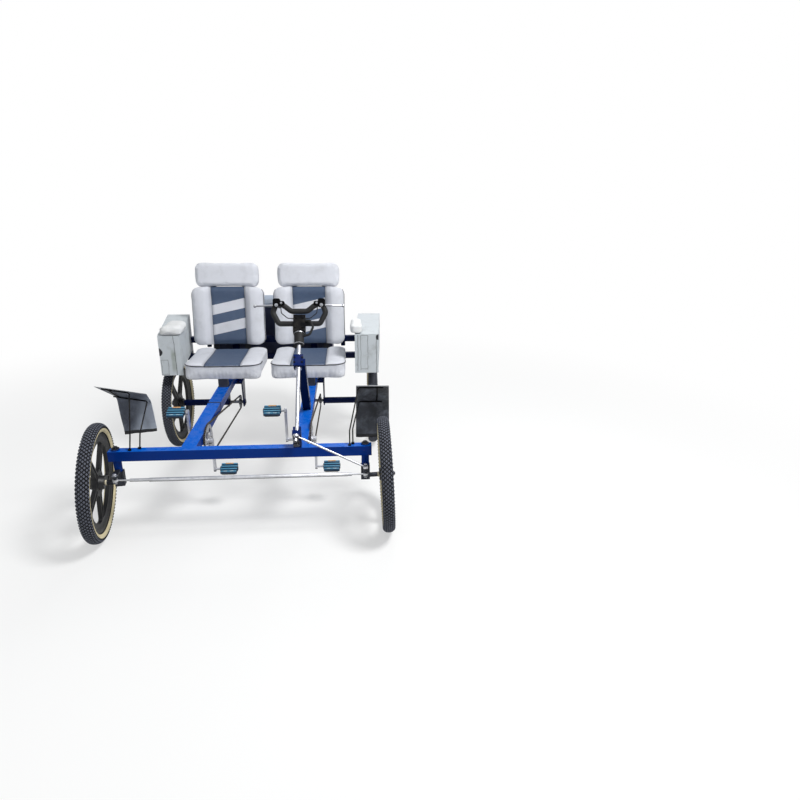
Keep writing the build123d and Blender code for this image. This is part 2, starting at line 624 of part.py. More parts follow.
#         side    cushion X  back X  tube X
seats = (("left", -263.0, -285.0, LEFT_TUBE_X),
         ("right", 280.0, 272.0, RIGHT_TUBE_X))
for name, sx, bx, tx in seats:
    lean = Pos(bx, BACK_FOOT_Y, BACK_FOOT_Z) * Rot(-BACK_TILT, 0, 0)
    cushion = block(sx - CUSHION_W / 2, sx + CUSHION_W / 2, CUSHION_Y0, CUSHION_Y1, CUSHION_LIP, CUSHION_Z1)
    cushion = fillet(cushion.edges().filter_by(Axis.Z), 60)
    cushion = fillet(cushion.faces().sort_by(Axis.Z)[-1].edges(), 24)
    mid_y = (CUSHION_Y0 + CUSHION_Y1) / 2
    long = CUSHION_Y1 - CUSHION_Y0
    skirt = loft([
        Pos(sx, mid_y, CUSHION_Z0) * RectangleRounded(CUSHION_W - 2 * SKIRT_IN, long - 2 * SKIRT_IN, 50),
        Pos(sx, mid_y, CUSHION_LIP) * RectangleRounded(CUSHION_W, long, 60)])
    cushion += skirt
    cushion -= block(sx - PAN_W / 2 - SEAT_GAP, sx + PAN_W / 2 + SEAT_GAP, PAN_Y0 - SEAT_GAP, CUSHION_Y1 + 20,
                     CUSHION_Z0 - 1, PAN_Z + PAN_T)
    back = Pos(0, BACK_T / 2, BACK_Z + BACK_H / 2) * fillet(Box(BACK_W, BACK_T, BACK_H).edges(), 30)
    headrest = Pos(0, HEAD_T / 2 + 6, HEAD_Z + HEAD_H / 2) * fillet(Box(HEAD_W, HEAD_T, HEAD_H).edges(), 30)
    save(cushion, f"seat_cushion_{name}")
    save(lean * back, f"seat_back_{name}")
    save(lean * headrest, f"headrest_{name}")
    pan = block(sx - PAN_W / 2, sx + PAN_W / 2, PAN_Y0, PAN_Y1, PAN_Z, PAN_Z + PAN_T)
    for y0, y1 in ((PAN_Y0 + 30, PAN_Y0 + 70), (PAN_Y1 - 90, PAN_Y1 - 50)):
        riser = block(tx - RISER_W / 2, tx + RISER_W / 2, y0, y1, PAN_Z - 120, PAN_Z)
        pan += riser - under_tube(tx, y0 - 60, y1 + 60)
    for s in (-1, 1):
        x0 = s * STRAP_X - STRAP_W / 2
        x1 = s * STRAP_X + STRAP_W / 2
        strap = lean * block(x0, x1, BACK_T, BACK_T + STRAP_T, -96, HEAD_Z + 70)
        strap -= block(sx - PAN_W, sx + PAN_W, BACK_FOOT_Y - PAN_W, BACK_FOOT_Y + PAN_W, PAN_Z - 200, PAN_Z)
        pan += strap
        pan += lean * block(x0, x1, HEAD_T + 6, BACK_T + 1, HEAD_Z + 40, HEAD_Z + 70)
        pan += block(bx + x0, bx + x1, PAN_Y1 - 20, STRAP_FOOT_Y, PAN_Z, PAN_Z + STRAP_T)
    save(pan, f"seat_frame_{name}")

# Pads on the armrest boxes
def on_box(y):
    return BOX_TOP_FRONT + (BOX_TOP_BACK - BOX_TOP_FRONT) * (y - BOX_FRONT) / (BOX_BACK - BOX_FRONT)


#        side     x0      x1     y0     y1
pads = (("left", -645.0, -500.0, 906.0, 1120.0),
        ("right", 556.0, 634.0, 912.0, 1150.0))
for name, x0, x1, y0, y1 in pads:
    pad = block(x0, x1, y0, y1, on_box(y0) - 8, on_box(y1) + 48)
    pad = fillet(pad.edges(), 18)
    fi, fo, bi, bo = [a[1:] for a in armrests if a[0] == name][0]
    pad -= box_hull(fi, fo, bi, bo, 0, BOX_FRONT_LIP)
    pad = pad.solids().sort_by(SortBy.VOLUME)[-1]
    save(pad, f"armrest_pad_{name}")

# Luggage box behind the seats with its lid
LUG_X = 420.0
LUG_Y0 = 1500.0
LUG_Y1 = 1785.0
LUG_Z1 = 915.0
LUG_WALL = 12.0
LID_T = 34.0
LID_OVER = 14.0
LID_RISE = 16.0
BATTEN = 22.0
HINGE_X = 260.0
HINGE_W = 70.0
HINGE_R = 6.0
z0 = tube_top(LUG_Y1) + BATTEN
luggage = block(-LUG_X, LUG_X, LUG_Y0, LUG_Y1, z0, LUG_Z1)
luggage -= block(-LUG_X + LUG_WALL, LUG_X - LUG_WALL, LUG_Y0 + LUG_WALL, LUG_Y1 - LUG_WALL,
                 z0 + LUG_WALL, LUG_Z1)
for tx in (LEFT_TUBE_X, RIGHT_TUBE_X):
    batten = block(tx - RISER_W / 2, tx + RISER_W / 2, LUG_Y0, LUG_Y1, z0 - 80, z0)
    luggage += batten - under_tube(tx, LUG_Y0 - 60, LUG_Y1 + 60)
save(luggage, "luggage_box")
lid = side_plate(-LUG_X - LID_OVER, LUG_X + LID_OVER, [
    (LUG_Y0 - LID_OVER, LUG_Z1), (LUG_Y1 + LID_OVER, LUG_Z1),
    (LUG_Y1 + LID_OVER, LUG_Z1 + LID_T + LID_RISE), (LUG_Y0 - LID_OVER, LUG_Z1 + LID_T)])
for x0 in (-HINGE_X - HINGE_W, HINGE_X):
    lid += across(x0, x0 + HINGE_W, LUG_Y0 - LID_OVER, LUG_Z1 + LID_T, HINGE_R)
save(lid, "luggage_lid")

# Mudguards: vinyl flaps on bent wire, each a hanging panel under a shelf that rises forwards
STEM_R = 3.5
FLAP_T = 4.0
FLAP_Y = 338.0
SHELF_DEEP = 160.0
FOOT_R = 8.0
#             side    near edge X    rise of    fold, outer and inner         low edge, outer and inner
#                     outer  inner   the shelf  (x, z)                        (x, z)
mudguards = (("left", -756.0, -502.0, 104.0,
              ((-718.0, 648.0), (-539.0, 617.0)), ((-703.0, 426.0), (-525.0, 446.0))),
             ("right", 759.0, 584.0, 152.0,
              ((770.0, 587.0), (583.0, 590.0)), ((771.0, 378.0), (580.0, 382.0))))
#          side     foot x   foot y  turns at x   share of the shelf's depth
stems = (("left", -552.0, -10.0, -590.0, 0.94),
         ("left", -510.0, 10.0, -552.0, 0.12),
         ("right", 546.0, -10.0, 596.0, 0.94),
         ("right", 562.0, 10.0, 600.0, 0.12))
for name, no, ni, rise, ((fo, foz), (fi, fiz)), ((bo, boz), (bi, biz)) in mudguards:
    tilt = (foz - fiz) / (fo - fi)

    def on_shelf(x, share):
        # a point of the shelf's upper face
        return (x, FLAP_Y - SHELF_DEEP * share, fiz + tilt * (x - fi) + rise * share)

    corners = [on_shelf(fo, 0), on_shelf(fi, 0), on_shelf(ni, 1), on_shelf(no, 1)]
    shelf = extrude(make_face(Polyline(*corners, close=True)), amount=FLAP_T, dir=(0, 0, -1))
    corners = [(x, FLAP_Y, z) for x, z in ((fo, foz), (fi, fiz), (bi, biz), (bo, boz))]
    panel = extrude(make_face(Polyline(*corners, close=True)), amount=FLAP_T, dir=(0, 1, 0))
    flap = shelf + panel
    side = 1 if fo > fi else -1
    drop = FLAP_T + STEM_R + 1.5
    stem = Part()
    for which, foot_x, foot_y, turn_x, share in stems:
        if which == name:
            under = [on_shelf(turn_x, share), on_shelf(no - side * 30, share)]
            rise_up = [(foot_x, foot_y, BEAM_TOP), (foot_x, foot_y + 30, BEAM_TOP + 70)]
            stem += bent_rod(rise_up + [(x, y, z - drop) for x, y, z in under], STEM_R, 16)
            stem += rod((foot_x, foot_y, BEAM_TOP), (foot_x, foot_y, BEAM_TOP + 9), FOOT_R)
    # a tie joins the two wires under the shelf and bears on it
    a = on_shelf(no - side * 60, 0.94)
    b = on_shelf(no - side * 60, 0.12)
    stem += rod((a[0], a[1], a[2] - drop), (b[0], b[1], b[2] - drop), STEM_R)
    for x, y, z in (a, b):
        stem += rod((x, y, z - drop), (x, y, z - FLAP_T), STEM_R)
    stem -= block(-900, 900, -40, 40, BEAM_BOTTOM, BEAM_TOP)
    stem -= flap
    stem = stem.solids().sort_by(SortBy.VOLUME)[-1]
    save(stem, f"mudguard_stem_{name}")
    save(flap, f"mudguard_flap_{name}")
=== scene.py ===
import math
import random
import bmesh
import bpy
from mathutils import Matrix, Vector
from mathutils.bvhtree import BVHTree


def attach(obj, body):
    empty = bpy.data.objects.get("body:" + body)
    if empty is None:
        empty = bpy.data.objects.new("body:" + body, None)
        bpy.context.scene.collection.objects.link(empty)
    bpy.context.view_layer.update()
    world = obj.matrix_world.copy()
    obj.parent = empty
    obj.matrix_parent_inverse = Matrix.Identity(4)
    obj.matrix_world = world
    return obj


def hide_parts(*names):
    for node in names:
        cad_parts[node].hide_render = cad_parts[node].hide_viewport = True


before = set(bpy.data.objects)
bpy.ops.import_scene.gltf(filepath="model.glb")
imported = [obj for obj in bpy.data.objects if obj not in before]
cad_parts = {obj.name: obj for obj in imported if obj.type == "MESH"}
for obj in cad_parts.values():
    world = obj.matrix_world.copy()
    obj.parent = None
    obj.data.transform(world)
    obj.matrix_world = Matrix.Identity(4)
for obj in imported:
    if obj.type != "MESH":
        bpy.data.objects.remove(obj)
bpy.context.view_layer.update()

random.seed(4)

# Camera: the eye of someone standing before the machine, a little to the right of its
# middle, as in the photograph. Lens and angles come from the front wheels and the beam.
yaw, pitch, roll = 0.084, 0.335, -0.010
ahead = Vector((math.sin(yaw) * math.cos(pitch), math.cos(yaw) * math.cos(pitch), -math.sin(pitch)))
level = Vector((math.cos(yaw), -math.sin(yaw), 0))
down = ahead.cross(level)
right = math.cos(roll) * level + math.sin(roll) * down
down = ahead.cross(right)
eye = bpy.data.cameras.new("eye")
eye.sensor_width = 36.0
eye.lens = 26.47
camera = bpy.data.objects.new("eye", eye)
axes = Matrix((right, -down, -ahead)).transposed().to_4x4()
camera.matrix_world = Matrix.Translation((0.5677, -3.5484, 1.6967)) @ axes
bpy.context.collection.objects.link(camera)
bpy.context.scene.camera = camera

# Frame: square steel tubes welded up and sprayed royal blue, faded and dusty, with the paint gone from a few
# knocks; upward faces are painted lighter as sunlight, and the parts that stood in shade wear a darker copy
# of the paint as painted shade. Its finish is also the first to need the shader nodes.
UPPER = 740  # the model's y is counted from here, in mm behind the front kingpins


def mm(x, y, z):
    return Vector((x, y - UPPER, z)) / 1000


def rgb(*tone):
    return tuple(c / 255 / 12.92 if c <= 10 else ((c / 255 + 0.055) / 1.055) ** 2.4 for c in tone)


class Wire:
    """One output in a finish's node tree; the usual signs between wires make Math nodes."""

    def __init__(self, finish, socket):
        self.finish, self.socket = finish, socket

    def math(self, kind, *others):
        return self.finish.node("ShaderNodeMath", (self, *others), operation=kind)

    def __add__(self, other):
        return self.math("ADD", other)

    def __sub__(self, other):
        return self.math("SUBTRACT", other)

    def __rsub__(self, other):
        return self.finish.node("ShaderNodeMath", (other, self), operation="SUBTRACT")

    def __mul__(self, other):
        return self.math("MULTIPLY", other)

    def __truediv__(self, other):
        return self.math("DIVIDE", other)

    def __gt__(self, other):
        return self.math("GREATER_THAN", other)

    def __lt__(self, other):
        return self.math("LESS_THAN", other)

    def __abs__(self):
        return self.math("ABSOLUTE")

    __radd__, __rmul__ = __add__, __mul__

    def ramp(self, low, high):
        # 0 below low, 1 above high
        return self.finish.node("ShaderNodeMapRange", {"Value": self, "From Min": low, "From Max": high},
                                interpolation_type="SMOOTHSTEP")


class Finish:
    """A material built on the Principled shader from wired texture nodes."""

    def __init__(self, name, tone, roughness=0.5, **fixed):
        self.material = bpy.data.materials.new(name)
        self.material.use_nodes = True
        self.tree = self.material.node_tree
        self.shader = self.tree.nodes["Principled BSDF"]
        self.tone, self.gloss = rgb(*tone), roughness
        self.put(self.shader.inputs["Base Color"], self.tone)
        self.put(self.shader.inputs["Roughness"], roughness)
        for socket, value in fixed.items():
            self.put(self.shader.inputs[socket.replace("_", " ")], value)

    def put(self, socket, value):
        if isinstance(value, Wire):
            self.tree.links.new(value.socket, socket)
        elif socket.type == "RGBA":
            socket.default_value = (*value, 1)
        else:
            socket.default_value = value

    def node(self, kind, inputs=(), out=0, **settings):
        made = self.tree.nodes.new(kind)
        for key, value in settings.items():
            setattr(made, key, value)
        for key, value in inputs.items() if isinstance(inputs, dict) else enumerate(inputs):
            self.put(made.inputs[key], value)
        return Wire(self, made.outputs[out])

    def place(self, stretch=(1, 1, 1)):
        here = self.node("ShaderNodeTexCoord", out="Object")
        return self.node("ShaderNodeMapping", {"Vector": here, "Scale": stretch})

    def noise(self, scale, detail=3.0, rough=0.5, where=None, stretch=(1, 1, 1)):
        where = where or self.place(stretch)
        return self.node("ShaderNodeTexNoise", {"Vector": where, "Scale": scale, "Detail": detail,
                                                "Roughness": rough})

    def cells(self, scale, where=None, feature="DISTANCE_TO_EDGE"):
        where = where or self.place()
        return self.node("ShaderNodeTexVoronoi", {"Vector": where, "Scale": scale}, feature=feature)

    def own(self, name, part):
        # one coordinate that the mesh carries as an attribute
        stored = self.node("ShaderNodeAttribute", out="Vector", attribute_name=name)
        return self.node("ShaderNodeSeparateXYZ", (stored,), out=part)

    def mix(self, share, first, second):
        return self.node("ShaderNodeMix", {0: share, 6: first, 7: second}, out=2, data_type="RGBA")

    def colour(self, wire):
        self.put(self.shader.inputs["Base Color"], wire)

    def rough(self, wire):
        self.put(self.shader.inputs["Roughness"], wire)

    def relief(self, height, depth):
        # height of 0 to 1 stands for depth in metres
        bump = self.node("ShaderNodeBump", {"Height": height, "Distance": depth})
        self.put(self.shader.inputs["Normal"], bump)

    def up(self):
        facing = self.node("ShaderNodeNewGeometry", out="Normal")
        return self.node("ShaderNodeSeparateXYZ", (facing,), out="Z")


def enamel(name, tone, sunlit, bare=(96, 62, 44)):
    paint = Finish(name, tone, 0.3, Coat_Weight=0.05, Coat_Roughness=0.1, Specular_IOR_Level=0.05)
    chalky = rgb(*[c * 0.8 + 14 for c in tone])
    faded = paint.mix(paint.noise(4, 3).ramp(0.3, 0.75) * 0.35, paint.tone, chalky)
    # painted light: upward faces are mixed toward the sunlit tone
    painted_sunlit_tops = paint.mix(paint.up().ramp(0.2, 0.9), faded, rgb(*sunlit))
    dust = paint.noise(22, 4, 0.5).ramp(0.40, 0.85) * paint.up().ramp(0.2, 0.95) * 0.10
    dusty = paint.mix(dust, painted_sunlit_tops, rgb(168, 160, 142))
    chip = paint.noise(75, 9, 0.62).ramp(0.715, 0.73)
    paint.colour(paint.mix(chip, dusty, rgb(*bare)))
    paint.rough(0.27 + dust * 1.2 + chip * 0.5)
    paint.relief(paint.noise(420, 2) * 0.15 - chip, 0.0006)
    return paint


def dress(finish, *nodes):
    for node in nodes:
        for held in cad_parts[node].material_slots:
            held.material = finish.material


frame_blue = enamel("frame_blue", (0, 44, 122), (8, 88, 186))
# the royal blue frame paint again, made darker as painted shade for the rear frame, axle carriers, steering
# post and lower bearing
frame_blue_painted_shade = enamel("frame_blue_painted_shade", (4, 18, 60), (12, 34, 92))
dress(frame_blue, "front_beam", "main_tube_left", "main_tube_right")
dress(frame_blue_painted_shade, "rear_frame", "axle_carrier_left", "axle_carrier_right", "steering_post", "lower_bearing")

# Bright steel: plated shaft, tie rod, drag link, stub axles and levers, dulled by weather and speckled with
# rust where the plating has gone, and darker on their undersides as painted shade.
def plated(name, tone, roughness, rust):
    steel = Finish(name, tone, roughness, Metallic=0.92)
    cloud = steel.noise(22, 5, 0.6)
    dull = steel.mix(cloud.ramp(0.35, 0.7) * 0.35, steel.tone, rgb(*[c * 0.66 for c in tone]))
    # painted shade: the underside is mixed darker
    underside_painted_shade = steel.mix(steel.up().ramp(-0.75, 0.35), rgb(*[c * 0.4 for c in tone]), dull)
    spots = steel.noise(95, 8, 0.7).ramp(0.70 - rust, 0.74 - rust)
    steel.colour(steel.mix(spots, underside_painted_shade, rgb(104, 64, 40)))
    steel.put(steel.shader.inputs["Metallic"], 0.92 - spots * 0.85)
    steel.rough(roughness + cloud * 0.22 + spots * 0.4)
    steel.relief(steel.noise(300, 3) * 0.4 + spots * 0.6, 0.0004)
    return steel


bright = plated("bright_steel", (222, 223, 229), 0.28, 0.01)
greyed = plated("greyed_steel", (140, 142, 148), 0.34, 0.05)
shaft_steel = plated("shaft_steel", (214, 215, 222), 0.26, 0.01)
height = shaft_steel.node("ShaderNodeSeparateXYZ", (shaft_steel.place(),), out="Z")
painted = 1 - height.ramp(0.548, 0.556)  # the drop arm and its boss are painted black
shaft_steel.colour(shaft_steel.mix(painted, shaft_steel.tone, rgb(24, 26, 36)))
shaft_steel.put(shaft_steel.shader.inputs["Metallic"], 0.92 - painted * 0.85)
dress(shaft_steel, "steering_shaft")
rod_steel = plated("rod_steel", (238, 239, 243), 0.4, 0.0)
dress(rod_steel, "tie_rod")
dress(bright, "drag_link", "brake_lever_left", "brake_lever_right",
      "crankset_left", "crankset_right")
dress(greyed, "half_shaft_left", "half_shaft_right")
dress(plated("cast_steel", (74, 76, 84), 0.42, 0.04), "knuckle_left", "knuckle_right")


def piece(name, shape, body, *finishes, instead=(), crease=None, slot=None):
    """Gives a finished bmesh its object, finish and body."""
    mesh = bpy.data.meshes.new(name)
    shape.normal_update()
    shape.to_mesh(mesh)
    shape.free()
    made = bpy.data.objects.new(name, mesh)
    bpy.context.collection.objects.link(made)
    for finish in finishes:
        mesh.materials.append(finish.material)
    if crease is not None:
        mesh.shade_smooth()
        mesh.set_sharp_from_angle(angle=math.radians(crease))
    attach(made, body)
    if instead:
        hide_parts(*instead)
    return made


# Tyres: black knobbly tread of small lozenges in seven rows round a square carcass, with a
# tan band on each side wall, moulded of rubber and pressed on the rims by their own beads.
TYRE_EDGE = [(15, 254), (20, 256.4), (24.8, 261.2), (28.4, 268), (29.7, 275), (28.8, 281.5), (25.4, 288.4),
             (19.4, 294.6), (11.5, 299.0), (5.5, 300.4)]
#            across  reach  tilt
TREAD_ROWS = ((0, 300.3, 0), (9.6, 299.2, 12), (18.4, 295.4, 36), (25.4, 288.4, 56),
              (-9.6, 299.2, -12), (-18.4, 295.4, -36), (-25.4, 288.4, -56))
LOZENGES = 96


def turn(x, y, z, axis="X", degrees=0):
    return Matrix.Translation((x, y, z)) @ Matrix.Rotation(math.radians(degrees), 4, axis)


def tyre_shape():
    shape = bmesh.new()
    outline = TYRE_EDGE + [(0, 300.6)] + [(-x, r) for x, r in reversed(TYRE_EDGE)]
    ring = [shape.verts.new((x / 1000, r / 1000, 0)) for x, r in outline]
    edges = [shape.edges.new(pair) for pair in zip(ring, ring[1:] + ring[:1])]
    bmesh.ops.spin(shape, geom=ring + edges, cent=(0, 0, 0), axis=(1, 0, 0), angle=math.tau, steps=120,
                   use_merge=True)
    bmesh.ops.recalc_face_normals(shape, faces=shape.faces)
    for face in shape.faces:
        face.smooth = True
    carcass = bpy.data.meshes.new("carcass")
    shape.to_mesh(carcass)
    shape.clear()
    knob = bmesh.new()
    bmesh.ops.create_circle(knob, segments=4, radius=0.0090, cap_ends=True)
    bmesh.ops.scale(knob, vec=(0.84, 1, 1), verts=knob.verts)
    top = bmesh.ops.extrude_face_region(knob, geom=knob.faces[:])["geom"]
    crown = [v for v in top if isinstance(v, bmesh.types.BMVert)]
    bmesh.ops.translate(knob, vec=(0, 0, 0.0044), verts=crown)
    bmesh.ops.scale(knob, vec=(0.74, 0.74, 1), verts=crown)
    bmesh.ops.recalc_face_normals(knob, faces=knob.faces)
    lozenge = bpy.data.meshes.new("lozenge")
    knob.to_mesh(lozenge)
    knob.free()
    crowns = set()  # places in the list of points, which grows in order
    for across, reach, tilt in TREAD_ROWS:
        shift = 0.5 * (abs(across) in (9.6, 25.4))
        for k in range(LOZENGES):
            start = len(shape.verts)
            shape.from_mesh(lozenge)
            shape.verts.ensure_lookup_table()
            round_ = Matrix.Rotation(math.tau * (k + shift) / LOZENGES, 4, "X")
            here = round_ @ turn(across / 1000, 0, reach / 1000 + 0.0003, "Y", tilt)
            crowns.update(start + i for i, v in enumerate(shape.verts[start:]) if v.co.z > 0.002)
            bmesh.ops.transform(shape, matrix=here, verts=shape.verts[start:])
    shape.from_mesh(carcass)
    for used in (lozenge, carcass):
        bpy.data.meshes.remove(used)
    stored = shape.verts.layers.float_vector.new("wheel")
    for place, v in enumerate(shape.verts):
        v[stored] = (v.co.x, math.hypot(v.co.y, v.co.z), place in crowns)
    return shape


rubber = Finish("tyre_rubber", (13, 13, 15), 0.75, Specular_IOR_Level=0.3)
reach = rubber.own("wheel", "Y")
tan_band = reach.ramp(0.2572, 0.2580) * (1 - reach.ramp(0.2768, 0.2778))
crown = rubber.own("wheel", "Z").ramp(0.55, 0.95)
scuff = rubber.noise(40, 6, 0.65)
tan = rubber.mix(scuff.ramp(0.5, 0.75) * 0.55, rgb(208, 196, 160), rgb(140, 122, 88))
# a little dust from the scuff noise, and the knob tops painted light bluish grey as a highlight
dust_and_knob_highlight = rubber.mix(scuff.ramp(0.42, 0.72) * 0.12 + crown * 0.62, rubber.tone, rgb(106, 110, 122))
rubber.colour(rubber.mix(tan_band, dust_and_knob_highlight, tan))
rubber.rough(0.66 + scuff * 0.25)
rubber.relief(rubber.noise(260, 5) * 0.6 + reach.ramp(0.2560, 0.2572) * 0.4, 0.0006)

WHEEL_R, REAR_Y = 0.305, 0.46
KINGPIN_X, KINGPIN_Y, AXLE_REACH = 0.625, -0.74, 0.107
# how each front wheel stands: side, then toe-in and camber in degrees
FRONTS = (("left", "l", -1, 9.0, 3.5), ("right", "r", 1, -0.5, 2.5))
wheels = []
for name, mark, side, toe, camber in FRONTS:
    stub = turn(side * AXLE_REACH, 0, WHEEL_R, "Y", -side * camber)
    hub = turn(side * KINGPIN_X, KINGPIN_Y, 0, "Z", toe) @ stub
    wheels.append((f"front_tyre_{name}", f"front_wheel_{mark}", hub))
for name, mark, x in (("left", "l", -0.652), ("right", "r", 0.704)):
    wheels.append((f"rear_tyre_{name}", f"rear_wheel_{mark}", Matrix.Translation((x, REAR_Y, WHEEL_R))))
for node, body, hub in wheels:
    shape = tyre_shape()
    bmesh.ops.transform(shape, matrix=hub, verts=shape.verts)
    piece(f"{node}_tread", shape, body, rubber, instead=(node,), slot="tyre_rubber")

# Rims: one-piece moulded nylon wheels with five broad spokes, black, dulled by dust,
# with hub and tyre seat in the same moulding.
def moulded(name, tone, roughness, grain=500.0):
    plastic = Finish(name, tone, roughness)
    scuff = plastic.noise(35, 6, 0.65)
    scuffed = rgb(*[c * 0.6 + 34 for c in tone])
    plastic.colour(plastic.mix(scuff.ramp(0.45, 0.85) * 0.4, plastic.tone, scuffed))
    plastic.rough(roughness + scuff * 0.25)
    plastic.relief(plastic.noise(grain, 3), 0.0004)
    return plastic


nylon = moulded("black_nylon", (14, 14, 17), 0.34)
dress(nylon, "front_rim_left", "front_rim_right", "rear_rim_left", "rear_rim_right")

# Handlebar: black enamelled tube with foam grips, braced by a second bar and clamped to
# the column above a rubber coupling.
black_enamel = enamel("black_enamel", (8, 8, 10), (20, 20, 23), (96, 90, 84))
soft_rubber = moulded("soft_rubber", (13, 13, 14), 0.6, 900)
dress(black_enamel, "handlebar")
dress(soft_rubber, "rubber_coupling", "coupling_hose", "brake_cables")
LEAN = math.atan2(521, 540)
FOOT_X, FOOT_Y, FOOT_Z = 281, -46, 540  # the column's lower end, in mm
BAR_T, GRIP_X = 672, 122  # the bar's place along the column and half the grips' distance, in mm


def column(t, w=0.0, x=0.0):
    """A point t mm up the steering column, w mm square to it, in the model's metres."""
    return mm(FOOT_X + x, FOOT_Y + math.sin(LEAN) * t - math.cos(LEAN) * w,
              FOOT_Z + math.cos(LEAN) * t + math.sin(LEAN) * w)


def facing(point, along):
    """Places a shape made round the Z axis at a point, its Z turned to a direction."""
    return Matrix.Translation(point) @ Vector(along).to_track_quat("Z", "Y").to_matrix().to_4x4()


def lathe(shape, outline, place, steps=32):
    """Turns an outline of (radius, height) in mm about Z and adds it to a shape."""
    ring = [shape.verts.new((r / 1000, 0, z / 1000)) for r, z in outline]
    edges = [shape.edges.new(pair) for pair in zip(ring, ring[1:] + ring[:1])]
    made = bmesh.ops.spin(shape, geom=ring + edges, cent=(0, 0, 0), axis=(0, 0, 1), angle=math.tau,
                          steps=steps, use_merge=True)
    turned = {v for v in ring if v.is_valid}
    for item in made["geom_last"]:
        if isinstance(item, bmesh.types.BMVert) and item.is_valid:
            turned.add(item)
    loose = set(turned)
    while loose:
        loose = {e.other_vert(v) for v in loose for e in v.link_edges} - turned
        turned |= loose
    bmesh.ops.recalc_face_normals(shape, faces=list({f for v in turned for f in v.link_faces}))
    bmesh.ops.transform(shape, matrix=place, verts=list(turned))


def hex_bolts(name, body, finish, spots):
    """Hexagon heads on washers: spots are (point, direction out of the surface, size across in mm)."""
    shape = bmesh.new()
    for point, along, size in spots:
        place = facing(point, along)
        lathe(shape, [(size * 0.3, 0), (size * 0.85, 0), (size * 0.85, 1.2), (size * 0.3, 1.2)], place, 18)
        head = bmesh.ops.create_cone(shape, segments=6, radius1=size * 0.58e-3, radius2=size * 0.58e-3,
                                     depth=size * 0.6e-3, cap_ends=True,
                                     matrix=place @ Matrix.Translation((0, 0, size * 0.3e-3 + 0.001)))
        top = [e for e in {e for v in head["verts"] for e in v.link_edges}]
        bmesh.ops.bevel(shape, geom=top, offset=size * 0.05e-3, segments=1, profile=0.5, affect="EDGES",
                        material=-1)
    return piece(name, shape, body, finish, crease=35)


# ribbed foam grips, drawn over the bar ends that point back at the driver
bar_up, bar_out = Vector((0, 0.3, 0.954)), Vector((0, -0.954, 0.3))
shape = bmesh.new()
for s in (-1, 1):
    start = column(BAR_T, x=s * GRIP_X) + bar_up * 0.118 - bar_out * 0.029
    outline = [(12.4, 0), (18.4, 0)]
    for k in range(14):
        outline += [(18.6, 2 + k * 6), (18.6, 5 + k * 6), (17.4, 5.6 + k * 6), (17.4, 7.2 + k * 6)]
    outline += [(18.8, 87), (17.0, 90), (12.4, 90)]
    lathe(shape, outline, facing(start, -bar_out), 28)
piece("grip_sleeves", shape, "steering", soft_rubber, crease=40)


def beading(name, points, radius, finish, body="chassis"):
    """A round cord, sleeve or bead along the given points."""
    curve = bpy.data.curves.new(name, "CURVE")
    curve.dimensions = "3D"
    curve.bevel_depth = radius
    curve.bevel_resolution = 4
    curve.use_fill_caps = True
    line = curve.splines.new("NURBS")
    line.points.add(len(points) - 1)
    for spot, point in zip(line.points, points):
        spot.co = (*point, 1)
    line.order_u = 3
    line.use_endpoint_u = True
    curve.materials.append(finish.material)
    made = bpy.data.objects.new(name, curve)
    bpy.context.collection.objects.link(made)
    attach(made, body)
    return made


# foam tubing over the bars, its corners rounded as the tube's are
SLEEVE_R = 0.0150
def along_bar(corners, near=0.024):
    points = [column(BAR_T, x=x) + bar_up * h / 1000 for x, h in corners]
    path = [points[0]]
    for before, here, after in zip(points, points[1:], points[2:]):
        path += [here + (before - here).normalized() * near, here, here + (after - here).normalized() * near]
    return path + [points[-1]]


foam = moulded("bar_foam", (11, 11, 13), 0.55, 1400)
for name, s in (("left", -1), ("right", 1)):
    run = along_bar([(s * 34, 0), (s * 112, 0), (s * 144, 60), (s * 127, 106)])
    beading(f"bar_sleeve_{name}", run, SLEEVE_R, foam, "steering")
run = along_bar([(-104, 108), (-84, 100), (-44, 68), (44, 68), (84, 100), (104, 108)])
beading("yoke_sleeve", run, SLEEVE_R, foam, "steering")

# thin plated bands at the ends of the coupling
shape = bmesh.new()
for t, radius, wide in ((609, 26.8, 4), (541, 26.6, 3)):
    outline = [(25.8, -wide / 2), (radius, -wide / 2), (radius + 0.6, 0), (radius, wide / 2),
               (25.8, wide / 2)]
    lathe(shape, outline, facing(column(t), column(1) - column(0)), 36)
piece("coupling_bands", shape, "steering", bright, crease=35)
ahead_of = (column(0, 1) - column(0)).normalized()
hex_bolts("stem_bolts", "steering", black_enamel,
          [(column(t, 24.2, x), ahead_of, 9) for t in (634, 694) for x in (-20, 20)]
          + [(column(t, 27.2, x), ahead_of, 7) for t in (418, 446) for x in (-20, 20)])
hex_bolts("lever_pivots", "steering", bright,
          [(column(BAR_T, x=s * GRIP_X) + bar_up * 0.100 + bar_out * 0.024, bar_out, 11) for s in (-1, 1)]
          + [(column(BAR_T, x=s * 96) + bar_up * 0.112 + bar_out * 0.018, bar_out, 7) for s in (-1, 1)])

# Steering small parts: bright nuts on the ball studs, the sleeve of the tie rod, a cream
# washer between each front hub and its knuckle, and a black band on the left main tube.
for name, mark, tip, upper in (("left", "l", (-610.6, -90.9), 378), ("right", "r", (624.2, -92.0), 398.5)):
    hex_bolts(f"stud_nuts_{name}", f"knuckle_{mark}", bright,
              [(mm(*tip, upper), (0, 0, 1), 15), (mm(*tip, 343.5), (0, 0, -1), 15)])
shape = bmesh.new()
lathe(shape, [(8.1, -492), (9.8, -489), (9.8, 489), (8.1, 492)], facing(mm(43, -91.4, 352), (1, 0, 0)), 28)
piece("tie_rod_sleeve", shape, "tie_rod", rod_steel, crease=35)
cream = moulded("cream_washer", (222, 212, 184), 0.4)
#         body         hub's middle (m)                  along the axle, inwards
WASHERS = (("knuckle_l", (-0.730683, -0.756738, 0.305), (0.985846, 0.156143, -0.061049)),
           ("knuckle_r", (0.731996, -0.740934, 0.305), (-0.99901, 0.008718, -0.043619)))


